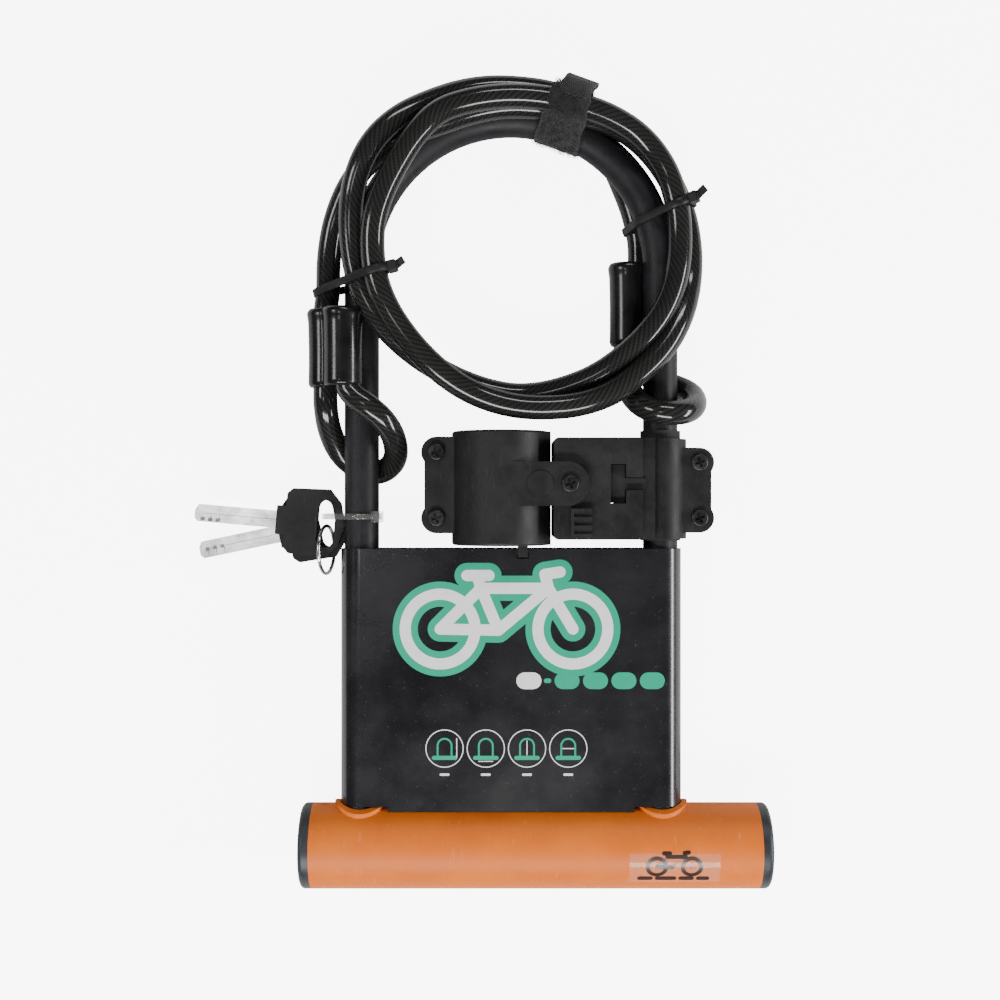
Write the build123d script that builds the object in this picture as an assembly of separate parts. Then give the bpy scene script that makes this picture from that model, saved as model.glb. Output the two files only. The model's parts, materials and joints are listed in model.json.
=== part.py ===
from build123d import *
import math
import os

# A bicycle U lock with its coiled cable, frame bracket and keys, lying flat. Millimetres.
# X runs along the crossbar, Y towards the bend of the shackle, Z up from the surface it lies on.
# All pieces are drawn about the crossbar's axis point (0, 0, sleeve_radius) and moved at the end.

# Crossbar
sleeve_radius = 18.3          # outside of the vinyl sleeve, which also sets the axis height
tube_radius = 17.0
tube_wall = 2.0
bar_left = -86.2              # left end of the sleeve
bar_right = 106.9             # right end of the sleeve
cap_thickness = 4.7
collar_radius = 11.6          # raised collar round each leg
collar_rise = 1.5

# Shackle
leg_spacing = 130.0           # between leg centres
leg_radius = 7.0
vinyl_wall = 0.5
bend_centre_y = 251.0
foot_depth = 13.0             # below the crossbar's axis
shackle_travel = 60.0

# Lock mechanism
rod_radius = 5.0
rod_y = -2.0                  # the locking rod's axis, from the crossbar's axis
plug_radius = 6.0
cylinder_length = 25.0
fit = 0.1                     # running clearance
loose = 0.3                   # clearance between bodies

nose_radius = 4.7             # front of the plug, seen through the cap
cap_spigot = 1.0
pin_radius = 1.5
pin_y = 10.5
cover_radius = 5.8
cover_arm = 7.4               # from the cover's pin to the middle of the keyway
cover_thickness = 1.2
cover_pin_radius = 1.2
bearing_places = (-50.0, 50.0)
bearing_length = 8.0

# Printed card
card_wall = 0.6
card_bottom = 18.6
card_top = 129.4
card_gap = 0.9                # between the card's fold and the leg
flap_reach = 53.0             # half width of the front flap over the crossbar
tie_x = 5.0                   # the small tie at the card's top edge

# Cable
cable_radius = 5.25
coil_centre = (-0.7, 260.0)
coil_outer = (84.3, 75.1)     # outer half axes of the wound coil
coil_band = 25.0
coil_height = 20.9
left_lobes = ((-80.6, 21.0), (-70.6, 31.5))# the two cable ends in the left crimp: X, height
right_lobes = ((57.2, 6.6), (50.2, 14.9))# the two cable ends in the right crimp
left_cover = (199.0, 232.6)   # Y range of the left crimp's cover
right_cover = (218.0, 254.0)  # Y range of the right crimp's cover
crimp_wall = 0.25
cover_wall = 1.1

# Places that the cable's free stretches pass near
left_loop_places = [
    (-80.6, 198.9, 21.0), (-80.6, 190.5, 21.0), (-79.6, 180.0, 14.5), (-75.0, 169.5, 8.0),
    (-66.0, 163.0, 5.4), (-57.0, 162.2, 7.5), (-51.0, 168.0, 15.5), (-51.2, 176.5, 24.5),
    (-57.0, 183.5, 32.0), (-65.5, 188.0, 35.2), (-70.6, 192.5, 31.5), (-70.6, 198.9, 31.5)]
right_loop_places = [
    (57.2, 217.9, 6.6), (57.2, 211.0, 6.6), (63.0, 204.0, 5.4), (72.0, 201.5, 5.6),
    (79.5, 197.5, 11.5), (80.2, 192.0, 22.0), (75.5, 188.0, 31.5), (65.5, 187.0, 35.0),
    (56.0, 190.0, 30.0), (50.8, 197.5, 22.0), (50.2, 207.5, 14.9), (50.2, 217.9, 14.9)]
tail_places = [
    (-8.0, 329.8, 24.0), (7.0, 330.4, 21.0), (19.5, 328.2, 17.5),
    (29.5, 323.0, 13.5), (37.0, 316.0, 8.8), (42.5, 306.5, 5.5), (48.5, 293.0, 5.4),
    (53.8, 280.0, 5.8), (57.2, 266.0, 6.6), (57.2, 254.1, 6.6)]

# Frame bracket
frame_tube_radius = 15.9      # the bicycle tube that the clamp takes
clamp_x = -4.3
clamp_z = 22.0
clamp_radius = 21.3
liner_wall = 2.0
bracket_low = 133.7           # Y range of the block and of the shackle clamp
bracket_high = 176.8
frame_clamp_low = 131.0
frame_clamp_high = 180.0
block_left = 17.9
block_right = 55.4
block_bottom = 8.0
block_top = 38.9
tongue_thickness = 4.0
screw_radius = 2.0
head_radius = 3.7
head_height = 2.2
bracket_travel = 50.0
button_travel = 2.8
ear_places = (142.7, 166.6)   # Y of the shackle clamp's screws
frame_ear_places = (142.7, 171.0)
shackle_ear_x = 81.1
frame_ear_x = -32.0
ear_radius = 6.4
frame_ear_radius = 6.6
ear_half_height = 7.0
nut_pocket_radius = 4.0
clamp_wall = 2.6
slot_x = 41.9                 # left end of the T slot
head_width = 6.4
neck_half = 2.7
head_half = 8.3
foot_half = 10.0              # half length of the T tongue's foot
foot_thickness = 3.6
tongue_half = 9.3             # half width of the frame clamp's tongue
tongue_screw_x = 24.5
hinge_pin_radius = 1.1
knuckle_radius = 2.3
knuckle_spans = ((frame_clamp_low, 147.0), (147.3, 163.7), (164.0, frame_clamp_high))

# Release button in the block
button_x = 29.4
button_half = 4.5
button_low = 134.6
button_high = 146.8
rib_width = 1.6
stem_half = 2.5
arm_low = 142.2
arm_high = 146.0
latch_low = 29.7
latch_high = 34.3
nose_x = (43.5, 46.5)         # X range of the latch nose
spring_x = 37.0
spring_z = 32.0
spring_low = 137.2

# Keys
key_x = -81.3                 # the eye of the stacked keys
key_y = 140.0
bow_thickness = 4.6
blade_length = 40.0
blade_half_width = 3.8
blade_thickness = 2.2
key_yaw = (-5.0, 12.0)        # upper key, lower key
key_floor = 4.5               # underside of the lower key, which the tie holds off the ground
ring_radius = 10.5
ring_wire = 0.8

# Worked out from the above
axis_z = sleeve_radius
leg_x = leg_spacing / 2
vinyl_radius = leg_radius + vinyl_wall
bore_radius = tube_radius - tube_wall
rod_z = axis_z - leg_radius
cap_right = bar_right + cap_thickness
cap_left = bar_left - cap_thickness
card_radius = vinyl_radius + card_gap + card_wall
cylinder_end = bar_right - cap_spigot - fit
rod_end = leg_radius + 1.6    # half length of the rod's half-round stretches
cover_pin_z = rod_z + cover_arm
cover_swing = cover_arm + cover_radius + loose
cover_depth = cover_thickness + 0.5
coil_floor = axis_z + vinyl_radius + loose
coil_top = coil_floor + coil_height
tongue_y = (bracket_low + bracket_high) / 2 + 2.0
block_gap = 0.3
shackle_liner_radius = vinyl_radius + 1.2
flange_top = axis_z + ear_half_height
flange_bottom = axis_z - ear_half_height
knuckle_x = clamp_x + 19.2


def box(x0, x1, y0, y1, z0, z1):
    middle = Pos((x0 + x1) / 2, (y0 + y1) / 2, (z0 + z1) / 2)
    return middle * Box(x1 - x0, y1 - y0, z1 - z0)


def rod_along_x(radius, x0, x1, y, z):
    return Pos((x0 + x1) / 2, y, z) * Rot(0, 90, 0) * Cylinder(radius, x1 - x0)


def rod_along_y(radius, y0, y1, x, z):
    return Pos(x, (y0 + y1) / 2, z) * Rot(90, 0, 0) * Cylinder(radius, y1 - y0)


def rod_along_z(radius, z0, z1, x, y):
    return Pos(x, y, (z0 + z1) / 2) * Cylinder(radius, z1 - z0)


def both_legs(shape):
    """The shape at the right leg and its copy at the left one."""
    return shape + Pos(-leg_spacing, 0, 0) * shape


# ---------------------------------------------------------------- crossbar

def crossbar_tube():
    x0, x1 = bar_left + 1.0, bar_right - 1.0
    tube = rod_along_x(tube_radius, x0, x1, 0, axis_z) - rod_along_x(bore_radius, x0, x1, 0, axis_z)
    holes = both_legs(rod_along_y(guide_radius(), 0, 30, leg_x, axis_z))
    pins = pin_holes(pin_radius)
    return tube - holes - pins


def guide_radius():
    return vinyl_radius + 1.2


def crossbar_sleeve():
    inner = rod_along_x(tube_radius + 0.05, bar_left, bar_right, 0, axis_z)
    sleeve = rod_along_x(sleeve_radius, bar_left, bar_right, 0, axis_z)
    swell = rod_along_x(sleeve_radius + collar_rise, -leg_x - 20, leg_x + 20, 0, axis_z)
    collar = both_legs(rod_along_y(collar_radius, 0, 30, leg_x, axis_z)) & swell
    recess = both_legs(rod_along_y(card_radius + loose, 0, 30, leg_x, axis_z))
    return sleeve + collar - inner - recess


def leg_guides():
    """Plastic bush in each leg hole, with a flange on the tube inside the collar."""
    bush = rod_along_y(guide_radius() - 0.05, 0, 30, leg_x, axis_z)
    bush = bush & wall_ring(bore_radius, tube_radius + 0.5)
    flange = rod_along_y(card_radius, 0, 30, leg_x, axis_z)
    flange = flange & wall_ring(tube_radius + 0.05, sleeve_radius - 0.3)
    guide = bush + flange - rod_along_y(leg_radius + fit, -5, 35, leg_x, axis_z)
    return both_legs(guide)


def wall_ring(inner, outer):
    """A ring round the crossbar's axis, as long as the space round one leg."""
    x0, x1 = leg_x - 20, leg_x + 20
    return rod_along_x(outer, x0, x1, 0, axis_z) - rod_along_x(inner, x0, x1, 0, axis_z)


def foot_seats():
    """Nylon pad in the tube under each foot."""
    pad = rod_along_y(leg_radius - 1, -bore_radius, -foot_depth - loose, leg_x, axis_z)
    inside = rod_along_x(bore_radius - 0.05, leg_x - 20, leg_x + 20, 0, axis_z)
    return both_legs(pad & inside)


def end_cap(x_face, x_sleeve, spigot_length):
    """Moulded cap: a disc as wide as the sleeve with a spigot in the tube."""
    low, high = min(x_face, x_sleeve), max(x_face, x_sleeve)
    disc = rod_along_x(sleeve_radius, low, high, 0, axis_z)
    outer = disc.edges().filter_by(GeomType.CIRCLE).sort_by(Axis.X)
    rim = outer[-1] if x_face > x_sleeve else outer[0]
    disc = fillet(rim, 2.2)
    inward = x_sleeve - math.copysign(spigot_length, x_face)
    low, high = min(inward, x_sleeve), max(inward, x_sleeve)
    return disc + rod_along_x(bore_radius - 0.05, low, high, 0, axis_z)


def end_cap_left():
    return end_cap(cap_left, bar_left, 9.0)


def end_cap_right():
    """The right cap has the key opening and a shallow recess in which the dust cover swings."""
    cap = end_cap(cap_right, bar_right, cap_spigot)
    opening = rod_along_x(nose_radius + loose, bar_right - 2, cap_right + 1, rod_y, rod_z)
    recess = rod_along_x(cover_swing, cap_right - cover_depth, cap_right + 1, rod_y, cover_pin_z)
    socket = rod_along_x(cover_pin_radius, bar_right, cap_right + 1, rod_y, cover_pin_z)
    return cap - opening - recess - socket


def pin_holes(radius):
    """Two cross pins hold the lock cylinder in the tube."""
    x = cylinder_end - cylinder_length / 2
    reach = math.sqrt(tube_radius ** 2 - (pin_y + pin_radius) ** 2)
    pins = [rod_along_z(radius, axis_z - reach, axis_z + reach, x + dx, pin_y) for dx in (-6.0, 6.0)]
    return pins[0] + pins[1]


def cylinder_body():
    x1 = cylinder_end
    x0 = x1 - cylinder_length
    body = rod_along_x(bore_radius - 0.05, x0, x1, 0, axis_z)
    bore = rod_along_x(plug_radius + 0.06, x0 - 1, x1 + 1, rod_y, rod_z)
    return body - bore - pin_holes(pin_radius)


def cylinder_pins():
    return pin_holes(pin_radius - 0.02)


def rod_bearings():
    """Discs in the tube that carry the locking rod beside each leg."""
    discs = []
    for x in bearing_places:
        x0, x1 = x - bearing_length / 2, x + bearing_length / 2
        disc = rod_along_x(bore_radius - 0.05, x0, x1, 0, axis_z)
        discs.append(disc - rod_along_x(rod_radius + 0.06, x0 - 1, x1 + 1, rod_y, rod_z))
    return Compound(discs)


def lock_plug():
    x0 = cylinder_end - cylinder_length
    x1 = bar_right + 1.5
    plug = rod_along_x(plug_radius, x0, cylinder_end, rod_y, rod_z)
    plug = plug + rod_along_x(nose_radius, cylinder_end, x1, rod_y, rod_z)
    half_slot = blade_half_width + fit
    half_gap = blade_thickness / 2 + fit
    slot_y = (rod_y - half_slot, rod_y + half_slot)
    plug = plug - box(x0 + 6, x1 + 1, *slot_y, rod_z - half_gap, rod_z + half_gap)
    for x in wafer_places():
        plug = plug - box(x - 0.55, x + 0.55, rod_y - 2.6, rod_y + 2.6, rod_z - 4.4, rod_z + 4.4)
    return plug


def wafer_places():
    return [cylinder_end - 5.0 - 2.6 * i for i in range(5)]


def lock_wafers():
    """Five flat wafers in the plug, each with a window that the key passes through."""
    wafers = []
    for x in wafer_places():
        plate = box(x - 0.45, x + 0.45, rod_y - 2.5, rod_y + 2.5, rod_z - 4.3, rod_z + 4.3)
        wafers.append(plate - box(x - 1, x + 1, rod_y - 1.6, rod_y + 1.6, rod_z - 1.3, rod_z + 1.3))
    return Compound(wafers)


def locking_rod():
    """Round rod with a half-round stretch at each foot, driven by the plug."""
    rod = rod_along_x(rod_radius, -leg_x - rod_end, cylinder_end - cylinder_length - 0.05, rod_y, rod_z)
    reach = rod_radius + 1
    for x in (-leg_x, leg_x):
        upper = box(x - rod_end, x + rod_end, rod_y - reach, rod_y + reach, rod_z - 2 * fit, rod_z + reach)
        rod = rod - upper
    return rod


def dust_cover():
    """Teardrop plate over the keyway that swings on the cover pin."""
    x0 = cap_right - cover_depth + 0.15
    x1 = x0 + cover_thickness
    ear_radius = cover_pin_radius + 1.6
    disc = rod_along_x(cover_radius, x0, x1, rod_y, rod_z)
    ear = rod_along_x(ear_radius, x0, x1, rod_y, cover_pin_z)
    neck = box(x0, x1, rod_y - ear_radius, rod_y + ear_radius, rod_z, cover_pin_z)
    hole = rod_along_x(cover_pin_radius + 0.06, x0 - 1, x1 + 1, rod_y, cover_pin_z)
    thumb = rod_along_x(1.5, x0 + 0.5, x1 + 1, rod_y, rod_z - 3.5)
    return disc + ear + neck - hole - thumb


def cover_pin():
    x1 = cap_right - cover_depth + 0.15 + cover_thickness + 0.1
    pin = rod_along_x(cover_pin_radius - 0.02, bar_right + 0.2, x1, rod_y, cover_pin_z)
    return pin + rod_along_x(cover_pin_radius + 0.8, x1, x1 + 0.6, rod_y, cover_pin_z)


# ---------------------------------------------------------------- shackle

def bent_bar(radius, y_low):
    """Round bar up one leg, over the bend and down the other."""
    up = Line((leg_x, y_low, axis_z), (leg_x, bend_centre_y, axis_z))
    bend = ThreePointArc((leg_x, bend_centre_y, axis_z), (0, bend_centre_y + leg_x, axis_z),
                         (-leg_x, bend_centre_y, axis_z))
    down = Line((-leg_x, bend_centre_y, axis_z), (-leg_x, y_low, axis_z))
    section = Plane(origin=(leg_x, y_low, axis_z), z_dir=(0, 1, 0)) * Circle(radius)
    return sweep(section, path=Wire([up, bend, down]))


def shackle_bar():
    bar = bent_bar(leg_radius, -foot_depth)
    notch = rod_along_x(rod_radius + 0.3, -leg_x - 9, leg_x + 9, rod_y, rod_z)
    return bar - notch


def shackle_sleeve():
    bottom = axis_z + 0.3
    return bent_bar(vinyl_radius, bottom) - bent_bar(leg_radius + 0.02, bottom - 5)


def card_profile(radius):
    """Racetrack round both legs, drawn in the plane across them."""
    upright = Plane((0, 0, axis_z), x_dir=(1, 0, 0), z_dir=(0, 1, 0))
    return upright * SlotCenterToCenter(leg_spacing, 2 * radius)


def card_sleeve():
    ring = card_profile(card_radius) - card_profile(card_radius - card_wall)
    card = Pos(0, card_bottom, 0) * extrude(ring, card_top - card_bottom)
    z0 = axis_z + card_radius - card_wall
    flap = box(-flap_reach, flap_reach, card_bottom - 2.1, card_bottom, z0, z0 + card_wall)
    hole = box(tie_x - 2.6, tie_x + 2.6, card_top - 4.2, card_top - 2.2, z0 - 1, z0 + 2)
    return card + flap - hole


def loop_band(x, y, turn, r0, r1, z0, z1, width, wall, corner):
    """Closed flat band. r0 to r1 is its inner reach along the turned direction."""
    outer = Rectangle(r1 - r0 + 2 * wall, z1 - z0 + 2 * wall)
    outer = fillet(outer.vertices(), corner + wall)
    inner = fillet(Rectangle(r1 - r0, z1 - z0).vertices(), corner)
    band = extrude(Plane.XZ * (outer - inner), width / 2, both=True)
    return Pos(x, y, 0) * Rot(0, 0, turn) * Pos((r0 + r1) / 2, 0, (z0 + z1) / 2) * band


def strap():
    """Hook-and-loop strap round the shackle's bend and the coil."""
    return loop_band(0, bend_centre_y, 70, 55.6, 85.6, 2.5, coil_top + 0.4, 22.0, 1.4, 5.0)


def zip_tie_left():
    band = loop_band(-leg_x, 245, 14, -21.0, 8.8, 9.6, coil_top + 0.4, 3.4, 1.2, 3.0)
    head = box(-1.0, 5.0, -3.0, 3.0, coil_top - 9, coil_top - 2)
    return band + Pos(-leg_x, 245, 0) * Rot(0, 0, 14) * Pos(9.6, 0, 0) * head


def zip_tie_right():
    band = loop_band(0, bend_centre_y, 20, 54.0, 86.8, 0.9, coil_top + 0.4, 3.4, 0.8, 3.0)
    head = box(-1.0, 5.0, -3.0, 3.0, coil_top - 9, coil_top - 2)
    return band + Pos(0, bend_centre_y, 0) * Rot(0, 0, 20) * Pos(87.6, 0, 0) * head


def card_tie():
    """Small plastic loop in the notch at the card's top edge."""
    z = axis_z + card_radius - card_wall / 2
    ring = Rectangle(4.8, 3.4) - Rectangle(2.5, 1.2)
    return Pos(tie_x, card_top - 1.2, z) * extrude(Plane.YZ * ring, 2.2, both=True)


# ---------------------------------------------------------------- cable

def cable_coil():
    """The wound turns as one closed ring in front of the shackle."""
    outer = Ellipse(*coil_outer)
    inner = Ellipse(coil_outer[0] - coil_band, coil_outer[1] - coil_band)
    ring = Pos(coil_centre[0], coil_centre[1], coil_floor) * extrude(outer - inner, coil_height)
    ring = fillet(ring.edges().group_by(Axis.Z)[0] + ring.edges().group_by(Axis.Z)[-1], 5.0)
    crimp_side = left_lobes[1][0] + cable_radius + cover_wall + loose
    return ring - box(-100, crimp_side, 150, left_cover[1] + loose, 0, 80)


def arc_radius(before, corner, after):
    """0.45 of the shorter run, divided by the tangent of half the turn."""
    run_in, run_out = corner - before, after - corner
    half_turn = math.radians(run_in.get_angle(run_out) / 2)
    return 0.45 * min(run_in.length, run_out.length) / math.tan(half_turn)


def cable_tube(name, places):
    """Round tube along straight runs joined by tangent arcs."""
    points = [Vector(*place) for place in places]
    radii = [arc_radius(*points[i:i + 3]) for i in range(len(points) - 2)]
    path = FilletPolyline(*points, radius=radii)
    section = Plane(origin=points[0], z_dir=points[1] - points[0]) * Circle(cable_radius)
    tube = sweep(section, path=path)
    length = path.length
    expected = math.pi * cable_radius ** 2 * length
    print(name, "length", round(length, 1), "radii", [round(r, 1) for r in radii],
          "volume ratio", round(tube.volume / expected, 4))
    return tube


# Each loop leaves its crimp and comes back to it. Its places are X, Y, Z from the crossbar's axis.


def figure_eight(radius, near, far, y0, y1):
    """Two round lobes side by side with a web between them."""
    lobes = rod_along_y(radius, y0, y1, *near) + rod_along_y(radius, y0, y1, *far)
    dx, dz = far[0] - near[0], far[1] - near[1]
    web = Box(math.hypot(dx, dz), y1 - y0, 1.5 * radius)
    middle = Pos((near[0] + far[0]) / 2, (y0 + y1) / 2, (near[1] + far[1]) / 2)
    return lobes + middle * Rot(0, -math.degrees(math.atan2(dz, dx)), 0) * web


def crimp(lobes, cover_range):
    y0, y1 = cover_range
    return figure_eight(cable_radius + crimp_wall, *lobes, y0 + 2, y1 - 2)


def crimp_cover(lobes, cover_range):
    shell = figure_eight(cable_radius + cover_wall, *lobes, *cover_range)
    inner = cable_radius + crimp_wall + 0.02
    return shell - figure_eight(inner, *lobes, cover_range[0] + 2, cover_range[1] - 2)


# ---------------------------------------------------------------- keys

def key_outline():
    corners = [(-18, -12.0), (-18, 12.0), (-15.5, 14.4), (0.5, 15.2), (5.8, 9.4),
               (8.0, 0), (5.8, -9.4), (0.5, -15.2), (-15.5, -14.4)]
    bow = make_face(Polyline(*corners, close=True))
    bow = fillet(bow.vertices(), 1.2)
    neck = Pos(-19.9, 0) * Rectangle(4.2, 12.6)
    return bow + neck - Rot(0, 0, 90) * SlotOverall(21.0, 7.6)


def place_key(index, shape):
    """Stack index 1 lies on index 0; both pass the eye."""
    z = key_floor + index * (bow_thickness + 0.4)
    yaw = key_yaw[1] if index == 0 else key_yaw[0]
    return Pos(key_x, key_y, z) * Rot(0, 0, yaw) * shape


def key_bow(index):
    bow = extrude(key_outline(), bow_thickness)
    pocket = blade_shape(blade_half_width + 0.02, 0.02)
    return place_key(index, bow - pocket)


def blade_shape(half_width, extra):
    z0 = (bow_thickness - blade_thickness) / 2 - extra
    tip = -22.0 - blade_length + 4.0
    corners = [(-12, -half_width), (-12, half_width), (tip + 1.5, half_width),
               (tip, half_width - 2.5), (tip, -half_width + 1.5), (tip + 1.5, -half_width)]
    return Pos(0, 0, z0) * extrude(make_face(Polyline(*corners, close=True)), blade_thickness + 2 * extra)


def key_blade(index):
    blade = blade_shape(blade_half_width, 0)
    tip = -22.0 - blade_length + 4.0
    top = (bow_thickness + blade_thickness) / 2
    for side_z in (top - 0.6, top - blade_thickness):
        blade = blade - box(tip + 1.0, -24.0, 1.4, 2.3, side_z, side_z + 0.6)
        for i in range(3):
            x = tip + 3.6 + 3.6 * i
            blade = blade - box(x, x + 2.6, -3.0, -0.4, side_z, side_z + 0.6)
    return place_key(index, blade)


def key_ring():
    """Split ring through both keys, leaning a little to the left at its top."""
    ring = Torus(ring_radius, ring_wire)
    return Pos(key_x, key_y - 11.5, ring_radius + ring_wire + 0.2) * Rot(0, 90 - 12, 0) * ring


def key_tie():
    """Clear tie round the left leg and through the eyes of both keys."""
    right = -leg_x + vinyl_radius + 0.5
    top = axis_z + vinyl_radius + 0.5
    low = axis_z - vinyl_radius - 0.5
    left = key_x - 0.8
    under = key_floor - 1.3
    over = key_floor + 2 * bow_thickness + 2.0
    corners = [(right, low), (right, top), (-leg_x - 3, top),
               (left, over), (left, under), (left + 9.5, under)]
    inner = make_face(Plane.XZ * Polyline(*corners, close=True))
    outer = offset(inner, 1.1, kind=Kind.INTERSECTION)
    band = extrude(outer - inner, 1.2, both=True)
    head = box(-leg_x + 4.5, -leg_x + 9.5, -2.6, 2.6, top + 0.2, top + 4.6)
    return Pos(0, key_y + 3.2, 0) * (band + head)


# ---------------------------------------------------------------- shackle clamp


def shackle_clamp():
    """Split moulded clamp on the right leg with the T tongue for the bracket block."""
    outer = shackle_liner_radius + clamp_wall
    ring = rod_along_y(outer, bracket_low, bracket_high, leg_x, axis_z)
    ring = ring & box(block_right + block_gap, 120, 0, 200, 0, 60)
    plate = box(block_right + block_gap, leg_x - 4, bracket_low, bracket_high, block_bottom, block_top - 4.0)
    ear_low, ear_high = ear_places[0] - ear_radius, ear_places[1] + ear_radius
    flange = box(leg_x + 7, shackle_ear_x, ear_low, ear_high, flange_bottom, flange_top)
    edge = shackle_ear_x + ear_radius - 1.2
    flange = flange + box(shackle_ear_x - 1, edge, *ear_places, flange_bottom, flange_top)
    clamp = ring + plate + flange
    for y in ear_places:
        clamp = clamp + rod_along_z(ear_radius, flange_bottom, flange_top, shackle_ear_x, y)
    clamp = clamp + t_tongue()
    clamp = clamp - rod_along_y(shackle_liner_radius + 0.05, bracket_low - 1, bracket_high + 1, leg_x, axis_z)
    clamp = clamp - box(leg_x, leg_x + 30, bracket_low - 1, bracket_high + 1, axis_z - 0.8, axis_z + 0.8)
    for y in ear_places:
        clamp = clamp - rod_along_z(screw_radius + 0.02, flange_bottom - 1, flange_top + 1, shackle_ear_x, y)
        clamp = clamp - rod_along_z(nut_pocket_radius, flange_bottom - 1, flange_bottom + 3.2,
                                    shackle_ear_x, y)
    return clamp


def t_tongue():
    z0, z1 = block_bottom, block_top - 3.0
    head = box(slot_x + 0.25, slot_x + head_width - 0.25, tongue_y - head_half + 0.25,
               tongue_y + head_half - 0.25, z0, z1)
    neck_y = (tongue_y - neck_half + 0.25, tongue_y + neck_half - 0.25)
    neck = box(slot_x + 3, block_right + 1.5, *neck_y, z0, z1)
    foot_y = (tongue_y - foot_half, tongue_y + foot_half)
    foot_low = block_bottom - foot_thickness
    foot = box(slot_x + 4, block_right + 1.5, *foot_y, foot_low, block_bottom - block_gap)
    join = box(block_right + block_gap, block_right + 1.5, *foot_y, foot_low, block_bottom)
    latch_y = (tongue_y - head_half, tongue_y - head_half + 2.6)
    latch = box(slot_x, slot_x + head_width, *latch_y, latch_low, latch_high)
    return head + neck + foot + join - latch


def shackle_liner():
    """Rubber liner between the vinyl and the clamp, longer than the clamp at each end."""
    y0, y1 = bracket_low - 0.8, bracket_high + 3.6
    liner = rod_along_y(shackle_liner_radius, y0, y1, leg_x, axis_z)
    return liner - rod_along_y(vinyl_radius + 0.03, y0 - 1, y1 + 1, leg_x, axis_z)


def cross_recess(x, y, top):
    arms = Box(4.2, 1.0, 2.4) + Box(1.0, 4.2, 2.4)
    return Pos(x, y, top) * Rot(0, 0, 20) * arms


def clamp_screw(x, y, seat, bottom):
    """Pan-head cross-recess screw, head above the seat."""
    head = rod_along_z(head_radius, seat, seat + head_height, x, y)
    head = fillet(head.edges().group_by(Axis.Z)[-1], 0.9)
    shank = rod_along_z(screw_radius, bottom, seat, x, y)
    return head + shank - cross_recess(x, y, seat + head_height)


def hex_nut(x, y, z0, z1):
    nut = extrude(RegularPolygon(3.9, 6), z1 - z0)
    return Pos(x, y, z0) * nut - rod_along_z(screw_radius + 0.02, z0 - 1, z1 + 1, x, y)


def shackle_clamp_screws():
    return Compound([clamp_screw(shackle_ear_x, y, flange_top, flange_bottom) for y in ear_places])


def shackle_clamp_nuts():
    return Compound([hex_nut(shackle_ear_x, y, flange_bottom + 0.2, flange_bottom + 3.1) for y in ear_places])


# ---------------------------------------------------------------- bracket block

def bracket_block():
    block = box(block_left, block_right, bracket_low, bracket_high, block_bottom, block_top)
    block = fillet(block.edges().filter_by(Axis.Z), 2.0)
    slot = box(slot_x, slot_x + head_width, tongue_y - head_half, tongue_y + head_half, 0, 60)
    neck = box(slot_x + 3, block_right + 2, tongue_y - neck_half, tongue_y + neck_half, 0, 60)
    block = block - slot - neck - button_space() - block_screw_space()
    return block


def button_space():
    """Room in the block for the button's stem, latch arm, nose and spring."""
    stem = box(button_x - 2.8, button_x + 2.8, bracket_low + 1.2, arm_high + 0.2, latch_low, block_top + 1)
    arm = box(button_x - 2.8, slot_x + 4.9, arm_low - button_travel - 0.3, arm_high + 0.2,
              latch_low, latch_high)
    nose = box(slot_x + 1.3, slot_x + 4.9, arm_high, tongue_y - head_half + 1, latch_low, latch_high)
    spring = rod_along_y(2.2, spring_low, arm_low, spring_x, spring_z)
    return stem + arm + nose + spring


def release_button():
    """Ribbed thumb tab on a stem, with the latch arm whose nose holds the T tongue."""
    tab = box(button_x - button_half, button_x + button_half, button_low, button_high,
              block_top + 0.15, block_top + 1.8)
    spine = box(button_x - button_half, button_x - button_half + 1.4, button_low, button_high,
                block_top + 1.8, block_top + 3.0)
    tab = tab + spine
    for i in range(4):
        y = button_low + i * (button_high - button_low - rib_width) / 3
        tab = tab + box(button_x - button_half, button_x + button_half, y, y + rib_width,
                        block_top + 1.8, block_top + 3.0)
    stem = box(button_x - stem_half, button_x + stem_half, bracket_low + 1.5 + button_travel, arm_high,
               latch_low + 0.2, block_top + 0.2)
    arm = box(button_x - stem_half, nose_x[1], arm_low, arm_high, latch_low + 0.2, latch_high - 0.2)
    nose = box(*nose_x, arm_high, tongue_y - head_half + 2.2, latch_low + 0.2, latch_high - 0.2)
    return tab + stem + arm + nose


def button_spring():
    """Return spring, drawn at its pressed length behind the latch arm."""
    coils = [Pos(spring_x, spring_low + 0.3 + 0.5 * i, spring_z) * Rot(90, 0, 0) * Torus(1.7, 0.28)
             for i in range(4)]
    spring = coils[0]
    for coil in coils[1:]:
        spring = spring + coil
    return spring


def block_screw_space():
    hole = rod_along_z(screw_radius + 0.02, 20, block_top + 1, tongue_screw_x, tongue_y)
    pocket = box(block_left - 1, tongue_screw_x + 4.0, tongue_y - 3.5, tongue_y + 3.5, 27.6, 31.0)
    return hole + pocket


def tongue_screw():
    return clamp_screw(tongue_screw_x, tongue_y, block_top + 0.1 + tongue_thickness, 23.0)


def tongue_nut():
    return hex_nut(tongue_screw_x, tongue_y, 27.8, 30.8)


# ---------------------------------------------------------------- frame clamp


def clamp_liner_radius():
    return frame_tube_radius + liner_wall


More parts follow.
